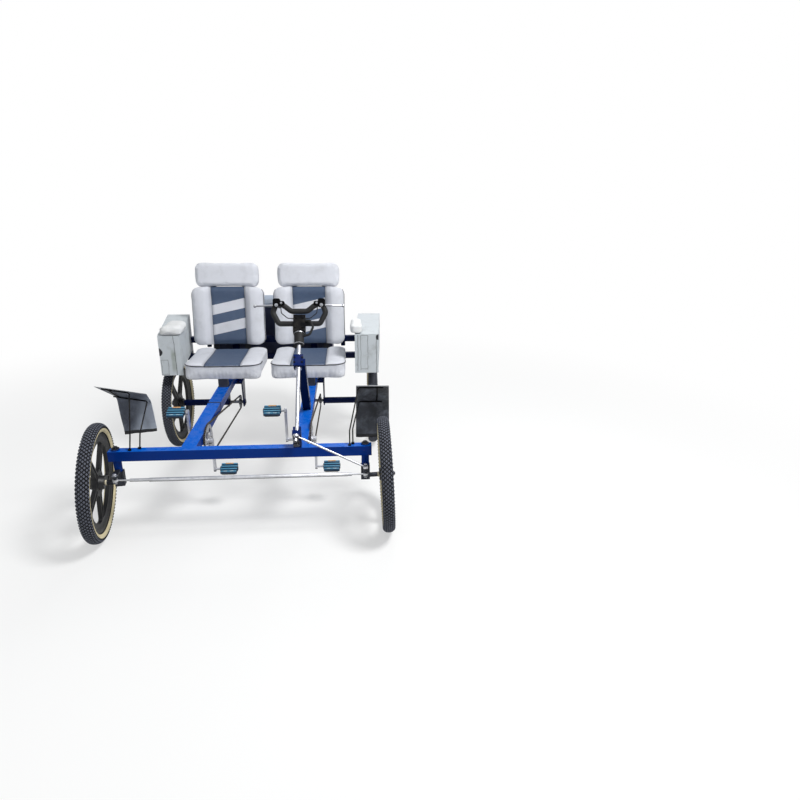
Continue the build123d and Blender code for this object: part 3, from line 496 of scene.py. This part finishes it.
def bar(shape, middle, size, edge):
    """Adds a rounded bar, sizes in mm, to a shape."""
    made = bmesh.ops.create_cube(shape, size=1)["verts"]
    bmesh.ops.scale(shape, vec=[d / 1000 for d in size], verts=made)
    bmesh.ops.translate(shape, vec=[d / 1000 for d in middle], verts=made)
    edges = list({e for v in made for e in v.link_edges})
    bmesh.ops.bevel(shape, geom=edges, offset=edge / 1000, segments=3, profile=0.5, affect="EDGES",
                    material=-1)


for body, hub, inwards in WASHERS:
    shape = bmesh.new()
    lathe(shape, [(7.4, 34.6), (13, 34.6), (14, 37), (13, 43), (7.4, 43)], facing(Vector(hub), inwards), 28)
    piece(f"hub_washer_{body[-1]}", shape, body, cream, crease=35)
shape = bmesh.new()
bar(shape, (0, 0, -25), (77, 11, 53), 2)
on_tube = Matrix.Translation(mm(-273, 640, 496.9)) @ Matrix.Rotation(math.atan(0.034), 4, "X")
bmesh.ops.transform(shape, matrix=on_tube, verts=shape.verts)
piece("tube_strap", shape, "chassis", nylon, crease=35)

# Pedals: blue-green plastic bodies of four ribs on a black core, lighter on their upper faces as painted
# light, an amber reflector along the rear rib and two pale bars let into the front as painted glints.
pedal_blue = Finish("pedal_blue", (4, 54, 84), 0.22, IOR=1.49)
haze = pedal_blue.noise(30, 5, 0.6)
# painted light: upward faces are mixed toward a light teal
lit_upper_faces = pedal_blue.mix(pedal_blue.up().ramp(0.55, 0.98) * 0.8, pedal_blue.tone, rgb(84, 146, 176))
pedal_blue.colour(pedal_blue.mix(haze.ramp(0.45, 0.75) * 0.4, lit_upper_faces, rgb(30, 96, 124)))
pedal_blue.rough(0.2 + haze * 0.25)
pedal_blue.relief(haze, 0.0004)
amber = Finish("amber_reflector", (222, 176, 120), 0.14, Coat_Weight=0.6)
prism = amber.cells(260)
amber.colour(amber.mix(prism.ramp(0, 0.3), rgb(170, 116, 60), amber.tone))
amber.relief(prism, 0.0006)
# painted highlight: pale bars at the pedal's front that stand for two glints
clear = Finish("painted_glint", (190, 214, 226), 0.12, Coat_Weight=0.8)
prism = clear.cells(260)
clear.colour(clear.mix(prism.ramp(0, 0.3), rgb(120, 150, 166), clear.tone))
clear.relief(prism, 0.0006)
CRANK_Y, PEDAL_TILT = 247, 25  # in mm and degrees
#         node                 body        x (mm)  z (mm)
PEDALS = (("pedal_left_up", "pedal_lu", -385, 580), ("pedal_left_down", "pedal_ld", -132, 240),
          ("pedal_right_up", "pedal_ru", 126, 580), ("pedal_right_down", "pedal_rd", 440, 240))


for node, body, x, z in PEDALS:
    stand = turn(*mm(x, CRANK_Y, z), "X", PEDAL_TILT)
    ribs, core, rear, front = (bmesh.new() for _ in range(4))
    for y, wide in ((-27, 90), (-9, 97), (9, 97), (27, 90)):
        bar(ribs, (0, y, 0), (wide, 15, 22), 5)
    bar(core, (0, 0, -1), (90, 62, 14), 3)
    bar(core, (0, -24, -6), (76, 22, 14), 4)
    lathe(core, [(6.3, -48.5), (11, -48.5), (11, -40), (6.3, -40)], turn(0, 0, 0, "Y", 90), 20)
    lathe(core, [(6.3, 40), (11, 40), (11, 48.5), (6.3, 48.5)], turn(0, 0, 0, "Y", 90), 20)
    bar(rear, (0, 29, 10), (44, 8, 4), 1.2)
    for side in (-18, 18):
        bar(front, (side, -26, 10.2), (20, 5, 3), 1)
    for shape, part, finish in ((ribs, "ribs", pedal_blue), (core, "core", nylon),
                                (rear, "rear_reflector", amber), (front, "front_glints", clear)):
        bmesh.ops.transform(shape, matrix=stand, verts=shape.verts)
        piece(f"{node}_{part}", shape, body, finish, instead=(node,), slot="pedal_plastic", crease=40)

# Chains: half-inch roller chain over the chainring and the axle sprocket, dry and browned,
# of inner and outer links by turns.
PITCH = 0.0127
oily = plated("chain_steel", (96, 90, 84), 0.42, 0.12)
CRANK_AT = (CRANK_Y, 410)
AXLE_AT = (1200, 305)


def chain_run(step):
    """Places along the chain's loop, each a point and a heading in the (y, z) plane."""
    big, small = 0.0965, 0.0445
    a = Vector((CRANK_AT[0] - UPPER, CRANK_AT[1])) / 1000
    b = Vector((AXLE_AT[0] - UPPER, AXLE_AT[1])) / 1000
    along = (b - a).normalized()
    span = (b - a).length
    lean = math.asin((big - small) / span)
    side = Vector((-along.y, along.x))
    straight = span * math.cos(lean)
    arcs = (math.pi + 2 * lean, math.pi - 2 * lean)
    whole = 2 * straight + big * arcs[0] + small * arcs[1]
    count = 2 * round(whole / step / 2)
    places = []
    for k in range(count):
        s = whole * k / count
        if s < straight:
            n = side * math.cos(lean) + along * math.sin(lean)
            start = a + n * big
            heading = along * math.cos(lean) - side * math.sin(lean)
            places.append((start + heading * s, heading))
            continue
        s -= straight
        if s < small * arcs[1]:
            turned = math.pi / 2 - lean - s / small
            n = along * math.cos(turned) + side * math.sin(turned)
            places.append((b + n * small, Vector((n.y, -n.x))))
            continue
        s -= small * arcs[1]
        if s < straight:
            n = -side * math.cos(lean) + along * math.sin(lean)
            heading = -(along * math.cos(lean) + side * math.sin(lean))
            places.append((b + n * small + heading * s, heading))
            continue
        s -= straight
        turned = -math.pi / 2 - lean - s / big
        n = along * math.cos(turned) + side * math.sin(turned)
        places.append((a + n * big, Vector((n.y, -n.x))))
    return places


def link_shape(outer):
    shape = bmesh.new()
    for flank in (-1, 1):
        plate = bmesh.ops.create_cube(shape, size=1)["verts"]
        bmesh.ops.scale(shape, vec=(0.0011, PITCH + 0.0072, 0.0074), verts=plate)
        long_edges = [e for e in shape.edges
                      if e.verts[0] in plate and abs(e.verts[0].co.x - e.verts[1].co.x) > 1e-6]
        made = bmesh.ops.bevel(shape, geom=long_edges, offset=0.0034, segments=2, profile=0.5, affect="EDGES",
                               material=-1)
        plate = {v for v in plate if v.is_valid} | set(made["verts"])
        bmesh.ops.translate(shape, vec=(flank * (0.0034 if outer else 0.0022), 0, 0), verts=list(plate))
    bmesh.ops.create_cone(shape, segments=8, radius1=0.0034, radius2=0.0034, depth=0.0066 if outer else 0.005,
                          cap_ends=True, matrix=turn(0, PITCH / 2, 0, "Y", 90))
    return shape


links = []
for outer in (False, True):
    mesh = bpy.data.meshes.new("link")
    shape = link_shape(outer)
    shape.to_mesh(mesh)
    shape.free()
    links.append(mesh)
for name, tube_x in (("left", -0.273), ("right", 0.289)):
    shape = bmesh.new()
    for k, (spot, heading) in enumerate(chain_run(PITCH)):
        start = len(shape.verts)
        shape.from_mesh(links[k % 2])
        shape.verts.ensure_lookup_table()
        here = Matrix.Translation((tube_x + 0.045, spot.x, spot.y))
        here = here @ Matrix.Rotation(math.atan2(heading.y, heading.x), 4, "X")
        bmesh.ops.transform(shape, matrix=here, verts=shape.verts[start:])
    piece(f"chain_links_{name}", shape, "chassis", oily, instead=(f"chain_{name}",), slot="chain_steel")
for mesh in links:
    bpy.data.meshes.remove(mesh)

# Seats: foam cushions in sewn boat vinyl, light grey with a slate middle and two light
# bars across the back, piped in black along the front seam.
def stuffed(name, size, corners, voxel, limit):
    """A foam block under a tight cover: rounded, remeshed, and swollen by cloth pressure."""
    shape = bmesh.new()
    bmesh.ops.create_cube(shape, size=1)
    bmesh.ops.scale(shape, vec=size, verts=shape.verts)
    for axis, radius in corners:
        edges = [e for e in shape.edges if abs((e.verts[0].co - e.verts[1].co).normalized()[axis]) > 0.99
                 and abs(e.verts[0].co[axis] - e.verts[1].co[axis]) > size[axis] * 0.4]
        bmesh.ops.bevel(shape, geom=edges, offset=radius, segments=5, profile=0.5, affect="EDGES",
                        material=-1)
    bmesh.ops.triangulate(shape, faces=shape.faces)
    mesh = bpy.data.meshes.new(name)
    shape.to_mesh(mesh)
    shape.free()
    block = bpy.data.objects.new(name, mesh)
    bpy.context.collection.objects.link(block)
    remesh = block.modifiers.new("grid", "REMESH")
    remesh.mode = "VOXEL"
    remesh.voxel_size = voxel
    graph = bpy.context.evaluated_depsgraph_get()
    block.data = bpy.data.meshes.new_from_object(block.evaluated_get(graph))
    block.modifiers.clear()
    before = [v.co.copy() for v in block.data.vertices]
    cover = block.modifiers.new("cover", "CLOTH")
    cover.settings.use_pressure = True
    cover.settings.uniform_pressure_force = 4.0
    cover.settings.effector_weights.gravity = 0.0
    cover.settings.quality = 4
    cover.point_cache.frame_end = 20
    for step in range(1, 21):
        bpy.context.scene.frame_set(step)
    graph = bpy.context.evaluated_depsgraph_get()
    swollen = block.evaluated_get(graph).data
    moved = [v.co.copy() for v in swollen.vertices]
    block.modifiers.clear()
    bpy.context.scene.frame_set(1)
    for v, start, end in zip(block.data.vertices, before, moved):
        way = end - start
        v.co = start + way * (min(way.length, limit) / max(way.length, 1e-9))
    return block


def sewn(block, name, mould, place, finish, node, body="chassis"):
    """Gives a stuffed block its channels and its place, and lets it stand for its node."""
    mesh = block.data.copy()
    mesh.name = name
    cut = mesh.attributes.new("seat", "FLOAT_VECTOR", "POINT")
    flat = []
    for v in mesh.vertices:
        flat.extend(v.co)
        v.co = place @ mould(v.co.copy())
    cut.data.foreach_set("vector", flat)
    mesh.shade_smooth()
    mesh.materials.clear()
    mesh.materials.append(finish.material)
    made = bpy.data.objects.new(name, mesh)
    bpy.context.collection.objects.link(made)
    smooth = made.modifiers.new("smooth", "SUBSURF")
    smooth.levels = smooth.render_levels = 1
    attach(made, body)
    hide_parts(node)
    return made


def ease(x, low, high):
    t = min(max((x - low) / (high - low), 0), 1)
    return t * t * (3 - 2 * t)


def groove(distance, width):
    return math.exp(-(distance / width) ** 2)


PANEL = 0.113  # half width of the slate middle
LIGHT, SLATE = (214, 216, 223), (66, 84, 112)


def seat_vinyl(name, bars, front=None):
    vinyl = Finish(name, LIGHT, 0.42, Sheen_Weight=0.05)
    x, y, z = (vinyl.own("seat", part) for part in "XYZ")
    middle = abs(x) < PANEL
    if front is not None:
        middle = middle * (y > front) * (z > 0)
    if bars:
        middle = middle * (y < 0.034)
        slope = z - x * 0.22
        for low, high in bars:
            middle = middle * (1 - (slope > low) * (slope < high))
    grime = vinyl.noise(9, 6, 0.65)
    light = vinyl.mix(grime.ramp(0.45, 0.8) * 0.45, vinyl.tone, rgb(176, 177, 180))
    slate = vinyl.mix(grime.ramp(0.4, 0.75) * 0.4, rgb(*SLATE), rgb(86, 101, 126))
    specks = vinyl.noise(150, 7, 0.7).ramp(0.66, 0.72) * 0.35
    on_face = (z > 0) * (y > front) if front is not None else y < 0.01
    away = abs(abs(x) - PANEL)
    seam = (away < 0.0012) * on_face
    # painted shade: a soft dark band beside each seam of the middle, besides the thin dark seam line itself
    crease = (1 - away.ramp(0.002, 0.020)) * on_face * 0.30
    cover = vinyl.mix(specks, vinyl.mix(middle, light, slate), rgb(120, 118, 112))
    vinyl.colour(vinyl.mix(seam * 0.8 + crease, cover, rgb(40, 46, 62)))
    vinyl.rough(0.36 + grime * 0.22)
    grain = vinyl.cells(420)
    vinyl.relief(grain.ramp(0, 0.22) * 0.5 + vinyl.noise(14, 3) * 0.9, 0.0011)
    return vinyl


back_vinyl = seat_vinyl("back_vinyl", ((0.034, 0.101), (-0.105, -0.034)))
pan_vinyl = seat_vinyl("pan_vinyl", (), front=-0.203)


def one_vinyl(name, tone, soiled, roughness=0.36):
    vinyl = Finish(name, tone, 0.4)
    grime = vinyl.noise(9, 6, 0.65)
    vinyl.colour(vinyl.mix(grime.ramp(0.45, 0.8) * 0.45, vinyl.tone, rgb(*soiled)))
    vinyl.rough(roughness + grime * 0.22)
    vinyl.relief(vinyl.cells(420).ramp(0, 0.22) * 0.5 + vinyl.noise(14, 3) * 0.9, 0.0011)
    return vinyl


plain_vinyl = one_vinyl("plain_vinyl", LIGHT, (176, 177, 180))


def back_mould(p):
    fore = ease(-p.y, -0.01, 0.03)
    hollow = 0.040 * (1 - ease(abs(p.x), 0.100, 0.160)) * (1 - 0.55 * ease(p.z, 0.10, 0.20))
    hollow += 0.008 * groove(abs(p.x) - PANEL, 0.006)
    hollow += 0.016 * ease(abs(p.x), 0.205, 0.262) ** 2  # the bolsters fall away outwards
    hollow -= 0.008 * groove(abs(p.x) - 0.180, 0.040)
    p.y += fore * hollow
    p.z += 0.010 * (1 - ease(abs(p.x), 0.12, 0.22)) * ease(p.z, 0.1, 0.2)
    return p


def pan_mould(p):
    upper = ease(p.z, 0.0, 0.03)
    hollow = 0.010 * (1 - ease(abs(p.x), 0.08, 0.16)) + 0.007 * groove(abs(p.x) - PANEL, 0.006)
    lip = 0.030 * (p.z - 0.046)  # the top bows over the front seam
    tuck = 1 - 0.055 * ease(-p.z, 0.004, 0.052)
    # the board's corners
    square = ease(abs(p.x), 0.15, 0.22) * ease(-p.y, 0.12, 0.19) * ease(-p.z, 0.0, 0.04)
    p.x += math.copysign(0.013 * square, p.x)
    p.y -= 0.013 * square
    p.z += 0.007 * ease(p.y, 0.05, 0.19) * ease(p.z, 0.0, 0.03)
    gather = 0.0016 * math.sin(p.x * 190 + 3 * math.sin(p.x * 31))
    gather *= ease(-p.y, 0.17, 0.21) * ease(-p.z, -0.03, 0.01)
    return Vector((p.x * tuck, (p.y + lip) * tuck - gather, p.z - upper * hollow))


def head_mould(p):
    p.y += 0.006 * ease(abs(p.x), 0.12, 0.225) * ease(-p.y, 0, 0.03)
    p.z -= 0.012 * ease(-p.z, 0.02, 0.07)
    p.z += 0.009 * (1 - (p.x / 0.214) ** 2) * ease(p.z, 0.02, 0.07)
    return p


back_block = stuffed("back_block", (0.504, 0.080, 0.410), ((1, 0.052), (0, 0.026), (2, 0.026)), 0.0075, 0.010)
pan_block = stuffed("pan_block", (0.491, 0.429, 0.103), ((2, 0.060), (0, 0.020), (1, 0.020)), 0.0075, 0.007)
head_block = stuffed("head_block", (0.428, 0.070, 0.151), ((1, 0.040), (0, 0.024), (2, 0.024)), 0.0070, 0.009)
piping = moulded("black_piping", (30, 33, 42), 0.4)


def welt(name, points, radius, cover):
    """A piped seam: a cord in vinyl laid on a cushion's cover along the given points."""
    tree = BVHTree.FromObject(cover, bpy.context.evaluated_depsgraph_get())
    laid = []
    for point in points:
        near, normal, _, _ = tree.find_nearest(point)
        laid.append(near + normal * radius * 0.35)
    return beading(name, laid, radius, piping)


for name, seat_x, back_x in (("left", -263, -285), ("right", 280, 272)):
    lean = Matrix.Translation(mm(back_x, 1272, 700)) @ Matrix.Rotation(math.radians(-9.5), 4, "X")
    back = sewn(back_block, f"back_cover_{name}", back_mould, lean @ Matrix.Translation((0, 0.048, 0.1965)),
                back_vinyl, f"seat_back_{name}")
    pan_place = Matrix.Translation(mm(seat_x, 1083, 620))
    pan = sewn(pan_block, f"cushion_cover_{name}", pan_mould, pan_place, pan_vinyl,
               f"seat_cushion_{name}")
    head_place = lean @ Matrix.Translation((0, 0.048, 0.4835))
    head = sewn(head_block, f"headrest_cover_{name}", head_mould, head_place, plain_vinyl,
                f"headrest_{name}")
    # front seam of the cushion, round its corners to the sides
    run = []
    for k in range(41):
        u = -1 + k / 20
        x = 0.247 * math.sin(u * math.pi / 2)
        y = -0.214 + 0.30 * max(abs(u) - 0.45, 0) ** 1.6
        run.append(pan_place @ Vector((x, y, 0.040)))
    welt(f"cushion_piping_{name}", run, 0.0032, pan)
    for s in (-1, 1):
        edge = [lean @ Vector((s * (0.262 - 0.03 * ease(k / 24, 0.8, 1.0)), 0.030, 0.01 + 0.37 * k / 24))
                for k in range(25)]
        welt(f"back_piping_{name}_{'left' if s < 0 else 'right'}", edge, 0.0028, back)
for block in (back_block, pan_block, head_block):
    bpy.data.objects.remove(block)

# Seat boards and straps: painted plywood under the cushions on flat steel straps, dark
# where they show below the vinyl.
board = moulded("seat_board", (58, 60, 66), 0.55, 200)
dress(board, "seat_frame_left", "seat_frame_right")

# Armrest boxes: plywood covers over the rear wheels, wrapped in the same grey vinyl and
# stitched down the front round a flat pocket, torn at the outer edge; the left has moss.
#         side    seams down the front (x, low, high)
#                 pocket (low x, high x, low z, high z), tear (x, y, z in mm), its radius
FRONTAL = {"left": (((-0.557, 0.588, 0.846),),
                    (-0.648, -0.606, 0.590, 0.690), (-660, 924, 738), 0.027),
           "right": (((0.603, 0.60, 0.84), (0.724, 0.588, 0.84)),
                     (0.622, 0.668, 0.606, 0.838), (741, 924, 826), 0.020)}
for name, (seams, (x0, x1, z0, z1), tear, tear_r) in FRONTAL.items():
    box_vinyl = Finish(f"box_vinyl_{name}", (196, 202, 206), 0.42)
    where = box_vinyl.node("ShaderNodeTexCoord", out="Object")
    x, y, z = (box_vinyl.node("ShaderNodeSeparateXYZ", (where,), out=part) for part in "XYZ")
    wander = (box_vinyl.noise(16, 2) - 0.5) * 0.012
    front = y < 0.190
    lines = 0
    for seam_x, low, high in seams:
        lines = (abs(x + wander - seam_x) < 0.0016) * (z > low) * (z < high) + lines
    for edge in (x0, x1):
        lines = lines + (abs(x + wander - edge) < 0.0012) * (z > z0) * (z < z1)
    for edge in (z0 + 0.008, z1):
        lines = lines + (abs(z + wander - edge) < 0.0012) * (x > x0) * (x < x1)
    wrinkle = box_vinyl.noise(7, 5, 0.6, stretch=(1, 1, 0.5))
    stain = box_vinyl.noise(13, 7, 0.7)
    cover = box_vinyl.mix(stain.ramp(0.5, 0.8) * 0.6, box_vinyl.tone, rgb(140, 142, 140))
    if name == "left":
        moss = (1 - abs(x + 0.568).ramp(0.006, 0.022)) * z.ramp(0.59, 0.64) * (1 - z.ramp(0.72, 0.78)) * front
        cover = box_vinyl.mix(moss * (stain + 0.3) * 0.6, cover, rgb(108, 118, 92))
    cover = box_vinyl.mix(lines * front * 0.85, cover, rgb(46, 50, 56))
    away = box_vinyl.node("ShaderNodeVectorMath", (where, mm(*tear)), out="Value", operation="DISTANCE")
    torn = (away + wander * 2) < tear_r
    box_vinyl.colour(box_vinyl.mix(torn, cover, rgb(26, 26, 34)))
    box_vinyl.rough(0.38 + stain * 0.25)
    box_vinyl.relief(wrinkle * 2.0 + box_vinyl.cells(420).ramp(0, 0.2) * 0.25 - lines * front * 0.5, 0.0022)
    dress(box_vinyl, f"armrest_box_{name}")

# Armrest pads: white vinyl drawn over foam, fat at the front, one on top of each armrest
# box.
pad_vinyl = one_vinyl("pad_vinyl", (232, 233, 233), (196, 196, 192), 0.3)


def pad_mould(p):
    p.x *= 1 + 0.10 * ease(-p.y, -0.08, 0.10)
    p.z += 0.006 * ease(-p.y, 0.0, 0.09) - 0.010 * ease(abs(p.x), 0.02, 0.07) * ease(p.z, 0, 0.02)
    return p


#        side     middle x, y, z (mm)   width, length, height
PADS = (("left", (-572.5, 1013, 877.5), (0.124, 0.200, 0.046)),
        ("right", (595, 1031, 878), (0.068, 0.226, 0.046)))
for name, middle, size in PADS:
    block = stuffed(f"pad_block_{name}", size, ((2, 0.028), (0, 0.014), (1, 0.014)), 0.0055, 0.006)
    on_top = Matrix.Translation(mm(*middle)) @ Matrix.Rotation(math.atan2(28, 556), 4, "X")
    sewn(block, f"armrest_pad_cover_{name}", pad_mould, on_top, pad_vinyl, f"armrest_pad_{name}")
    bpy.data.objects.remove(block)

# Luggage box behind the seats: plywood in vinyl, coloured navy as painted shade, under a grey padded lid,
# which turns on two hinges along its front edge.
luggage_box_painted_shade = Finish("luggage_box_painted_shade", (34, 42, 78), 0.45)
fade = luggage_box_painted_shade.noise(8, 5, 0.6)
luggage_box_painted_shade.colour(luggage_box_painted_shade.mix(fade.ramp(0.4, 0.75) * 0.4, luggage_box_painted_shade.tone, rgb(66, 76, 110)))
luggage_box_painted_shade.relief(luggage_box_painted_shade.cells(420).ramp(0, 0.2) * 0.5 + fade, 0.001)
dress(luggage_box_painted_shade, "luggage_box")
lid_vinyl = one_vinyl("lid_vinyl", (152, 166, 186), (120, 130, 146))


def lid_mould(p):
    p.z += 0.016 * (p.y / 0.302 + 0.5) * ease(p.z, -0.006, 0.010)
    p.z -= 0.006 * groove(abs(p.x) - 0.21, 0.010) * ease(p.z, 0, 0.012)
    return p


block = stuffed("lid_block", (0.858, 0.302, 0.032), ((2, 0.022), (0, 0.010), (1, 0.010)), 0.0085, 0.004)
sewn(block, "luggage_lid_cover", lid_mould, Matrix.Translation(mm(0, 1642.5, 933)), lid_vinyl, "luggage_lid",
     body="lid")
bpy.data.objects.remove(block)
shape = bmesh.new()
for x in (-295, 295):
    place = turn(*mm(x, 1486, 949), "Y", 90)
    for low, high in ((-35, -12.4), (-11.6, 11.6), (12.4, 35)):
        lathe(shape, [(2.4, low), (6, low), (6, high), (2.4, high)], place, 20)
    lathe(shape, [(0.4, -37), (2.3, -37), (2.3, 37), (0.4, 37)], place, 16)
piece("lid_hinges", shape, "lid", greyed, instead=("luggage_lid",), slot="luggage_vinyl", crease=35)

# Mudguards: black vinyl flaps greyed in blooms, laid over bent wire behind the front wheels, the left painted
# lighter as sunlight and the right darker as shade; each is one sheet with its near edge painted pale as a
# highlight and darker along its low edge.
#         side     near edge's outer and inner x, its rise, fold's outer and inner (x, z), all in mm
#                  low edge's outer and inner (x, z) in mm, flat size (m), area (m2)
FLAPS = (("left", (-756, -502), 104, ((-718, 648), (-539, 617)),
          ((-703, 426), (-525, 446)), (0.258, 0.387), 0.0773),
         ("right", (759, 584), 152, ((770, 587), (583, 590)),
          ((771, 378), (580, 382)), (0.191, 0.429), 0.0793))
for name, (no, ni), rise, ((fo, foz), (fi, fiz)), ((bo, boz), (bi, biz)), flat, area in FLAPS:
    tilt = (foz - fiz) / (fo - fi)
    shape = bmesh.new()
    bmesh.ops.create_grid(shape, x_segments=30, y_segments=56, size=0.5)
    cloth = shape.verts.layers.float_vector.new("cloth")
    for v in shape.verts:
        u, t = v.co.x + 0.5, v.co.y + 0.5
        v[cloth] = (u, t, 0)
        near = mm(no + (ni - no) * u, 178, fiz + tilt * (no + (ni - no) * u - fi) + rise)
        fold = mm(fo + (fi - fo) * u, 339, foz + (fiz - foz) * u)
        low = mm(bo + (bi - bo) * u, 339, boz + (biz - boz) * u)
        first, last = fold.lerp(near, 0.12), fold.lerp(low, 0.12)
        if t < 0.45:
            spot = near.lerp(first, t / 0.45)
        elif t < 0.55:
            k = (t - 0.45) * 10
            spot = first.lerp(fold, k).lerp(fold.lerp(last, k), k)
        else:
            spot = last.lerp(low, (t - 0.55) / 0.45)
        spot.z += -0.0029 + 0.003 * math.sin(math.pi * u) * math.sin(math.pi * min(t / 0.45, 1))
        hanging = ease(t, 0.5, 0.8)
        spot.y += hanging * (0.0035 * math.sin(5 * u + 7 * t) + 0.002 * math.sin(17 * u - 4 * t))
        spot.y -= 0.006 * ease(t, 0.93, 1.0)
        v.co = spot
    # painted light: the left flap's lighter tone and its light low inner corner stand for sunlight, and the
    # right flap's darker tone is painted shade
    tone, sunlit_corner_share = ((74, 80, 94), 0.75) if name == "left" else ((30, 33, 42), 0.1)
    flap_vinyl = Finish(f"flap_vinyl_{name}", tone, 0.45)
    across, along = flap_vinyl.own("cloth", "X"), flap_vinyl.own("cloth", "Y")
    bloom = flap_vinyl.noise(12, 6, 0.65)
    bloom_and_sunlit_corner = bloom.ramp(0.42, 0.75) * 0.4 + (across + along * 0.9 - 1.0).ramp(0.0, 0.3) * sunlit_corner_share
    cover = flap_vinyl.mix(bloom_and_sunlit_corner, flap_vinyl.tone, rgb(152, 160, 174))
    # darker along the low edge; the near edge is painted pale as a highlight
    cover = flap_vinyl.mix(along > 0.955, cover, rgb(24, 25, 30))
    flap_vinyl.colour(flap_vinyl.mix(along < 0.022, cover, rgb(176, 178, 180)))
    flap_vinyl.relief(flap_vinyl.cells(500).ramp(0, 0.2) * 0.3 + bloom
                      + (abs(along - 0.955) < 0.004) * 0.6 + (abs(along - 0.022) < 0.003) * 0.6, 0.0012)
    made = piece(f"mudguard_sheet_{name}", shape, "chassis", flap_vinyl, instead=(f"mudguard_flap_{name}",),
                 slot="mudguard_vinyl", crease=60)
    thick = made.modifiers.new("thick", "SOLIDIFY")
    thick.thickness = 0.0022
    thick.offset = 0
dress(black_enamel, "mudguard_stem_left", "mudguard_stem_right")

# Studio: a pale floor that keeps the machine's shadow, soft lamps and a white surround,
# none of it a piece of the machine.
floor = bmesh.new()
bmesh.ops.create_grid(floor, x_segments=1, y_segments=1, size=40)
floor_mesh = bpy.data.meshes.new("floor")
floor.to_mesh(floor_mesh)
floor.free()
ground = bpy.data.objects.new("floor", floor_mesh)
bpy.context.collection.objects.link(ground)
pale = bpy.data.materials.new("pale_floor")
pale.use_nodes = True
tree = pale.node_tree
skin = tree.nodes["Principled BSDF"]
skin.inputs["Base Color"].default_value = (0.80, 0.80, 0.79, 1)
skin.inputs["Roughness"].default_value = 0.9
glow = tree.nodes.new("ShaderNodeEmission")
glow.inputs["Color"].default_value = (1, 1, 1, 1)
rays = tree.nodes.new("ShaderNodeLightPath")
seen = tree.nodes.new("ShaderNodeMath")
seen.operation = "MULTIPLY"
spot = tree.nodes.new("ShaderNodeTexCoord")
far = tree.nodes.new("ShaderNodeVectorMath")
far.operation = "LENGTH"
share = tree.nodes.new("ShaderNodeMapRange")
share.interpolation_type = "SMOOTHSTEP"
for key, value in (("From Min", 1.0), ("From Max", 4.5), ("To Min", 0.5), ("To Max", 1.0)):
    share.inputs[key].default_value = value
blend = tree.nodes.new("ShaderNodeMixShader")
tree.links.new(spot.outputs["Object"], far.inputs[0])
tree.links.new(far.outputs["Value"], share.inputs["Value"])
tree.links.new(rays.outputs["Is Camera Ray"], seen.inputs[0])
tree.links.new(share.outputs[0], seen.inputs[1])
tree.links.new(seen.outputs[0], blend.inputs[0])
tree.links.new(skin.outputs[0], blend.inputs[1])
tree.links.new(glow.outputs[0], blend.inputs[2])
tree.links.new(blend.outputs[0], tree.nodes["Material Output"].inputs["Surface"])
floor_mesh.materials.append(pale)

world = bpy.data.worlds.new("surround")
bpy.context.scene.world = world
world.use_nodes = True
tree = world.node_tree
lit = tree.nodes["Background"]
lit.inputs["Color"].default_value = (0.92, 0.96, 1.0, 1)
lit.inputs["Strength"].default_value = 0.34
white = tree.nodes.new("ShaderNodeBackground")
white.inputs["Color"].default_value = (1, 1, 1, 1)
rays = tree.nodes.new("ShaderNodeLightPath")
either = tree.nodes.new("ShaderNodeMath")
either.operation = "MAXIMUM"
blend = tree.nodes.new("ShaderNodeMixShader")
tree.links.new(rays.outputs["Is Camera Ray"], either.inputs[0])
tree.links.new(rays.outputs["Is Transmission Ray"], either.inputs[1])
tree.links.new(either.outputs[0], blend.inputs[0])
tree.links.new(lit.outputs[0], blend.inputs[1])
tree.links.new(white.outputs[0], blend.inputs[2])
tree.links.new(blend.outputs[0], tree.nodes["World Output"].inputs["Surface"])

#         name    from              size  watts
LAMPS = (("key", (2.6, -1.9, 4.8), 1.4, 275),
         ("fill", (-4.0, -3.0, 2.6), 3.0, 42),
         ("back", (0.5, 4.0, 3.6), 2.6, 80))
for name, spot, size, watts in LAMPS:
    lamp = bpy.data.lights.new(name, "AREA")
    lamp.size = size
    lamp.energy = watts
    holder = bpy.data.objects.new(name, lamp)
    aim = Vector((0, 0, 0.5)) - Vector(spot)
    holder.matrix_world = Matrix.Translation(spot) @ aim.to_track_quat("-Z", "Y").to_matrix().to_4x4()
    bpy.context.collection.objects.link(holder)
bpy.context.scene.view_settings.view_transform = "Standard"
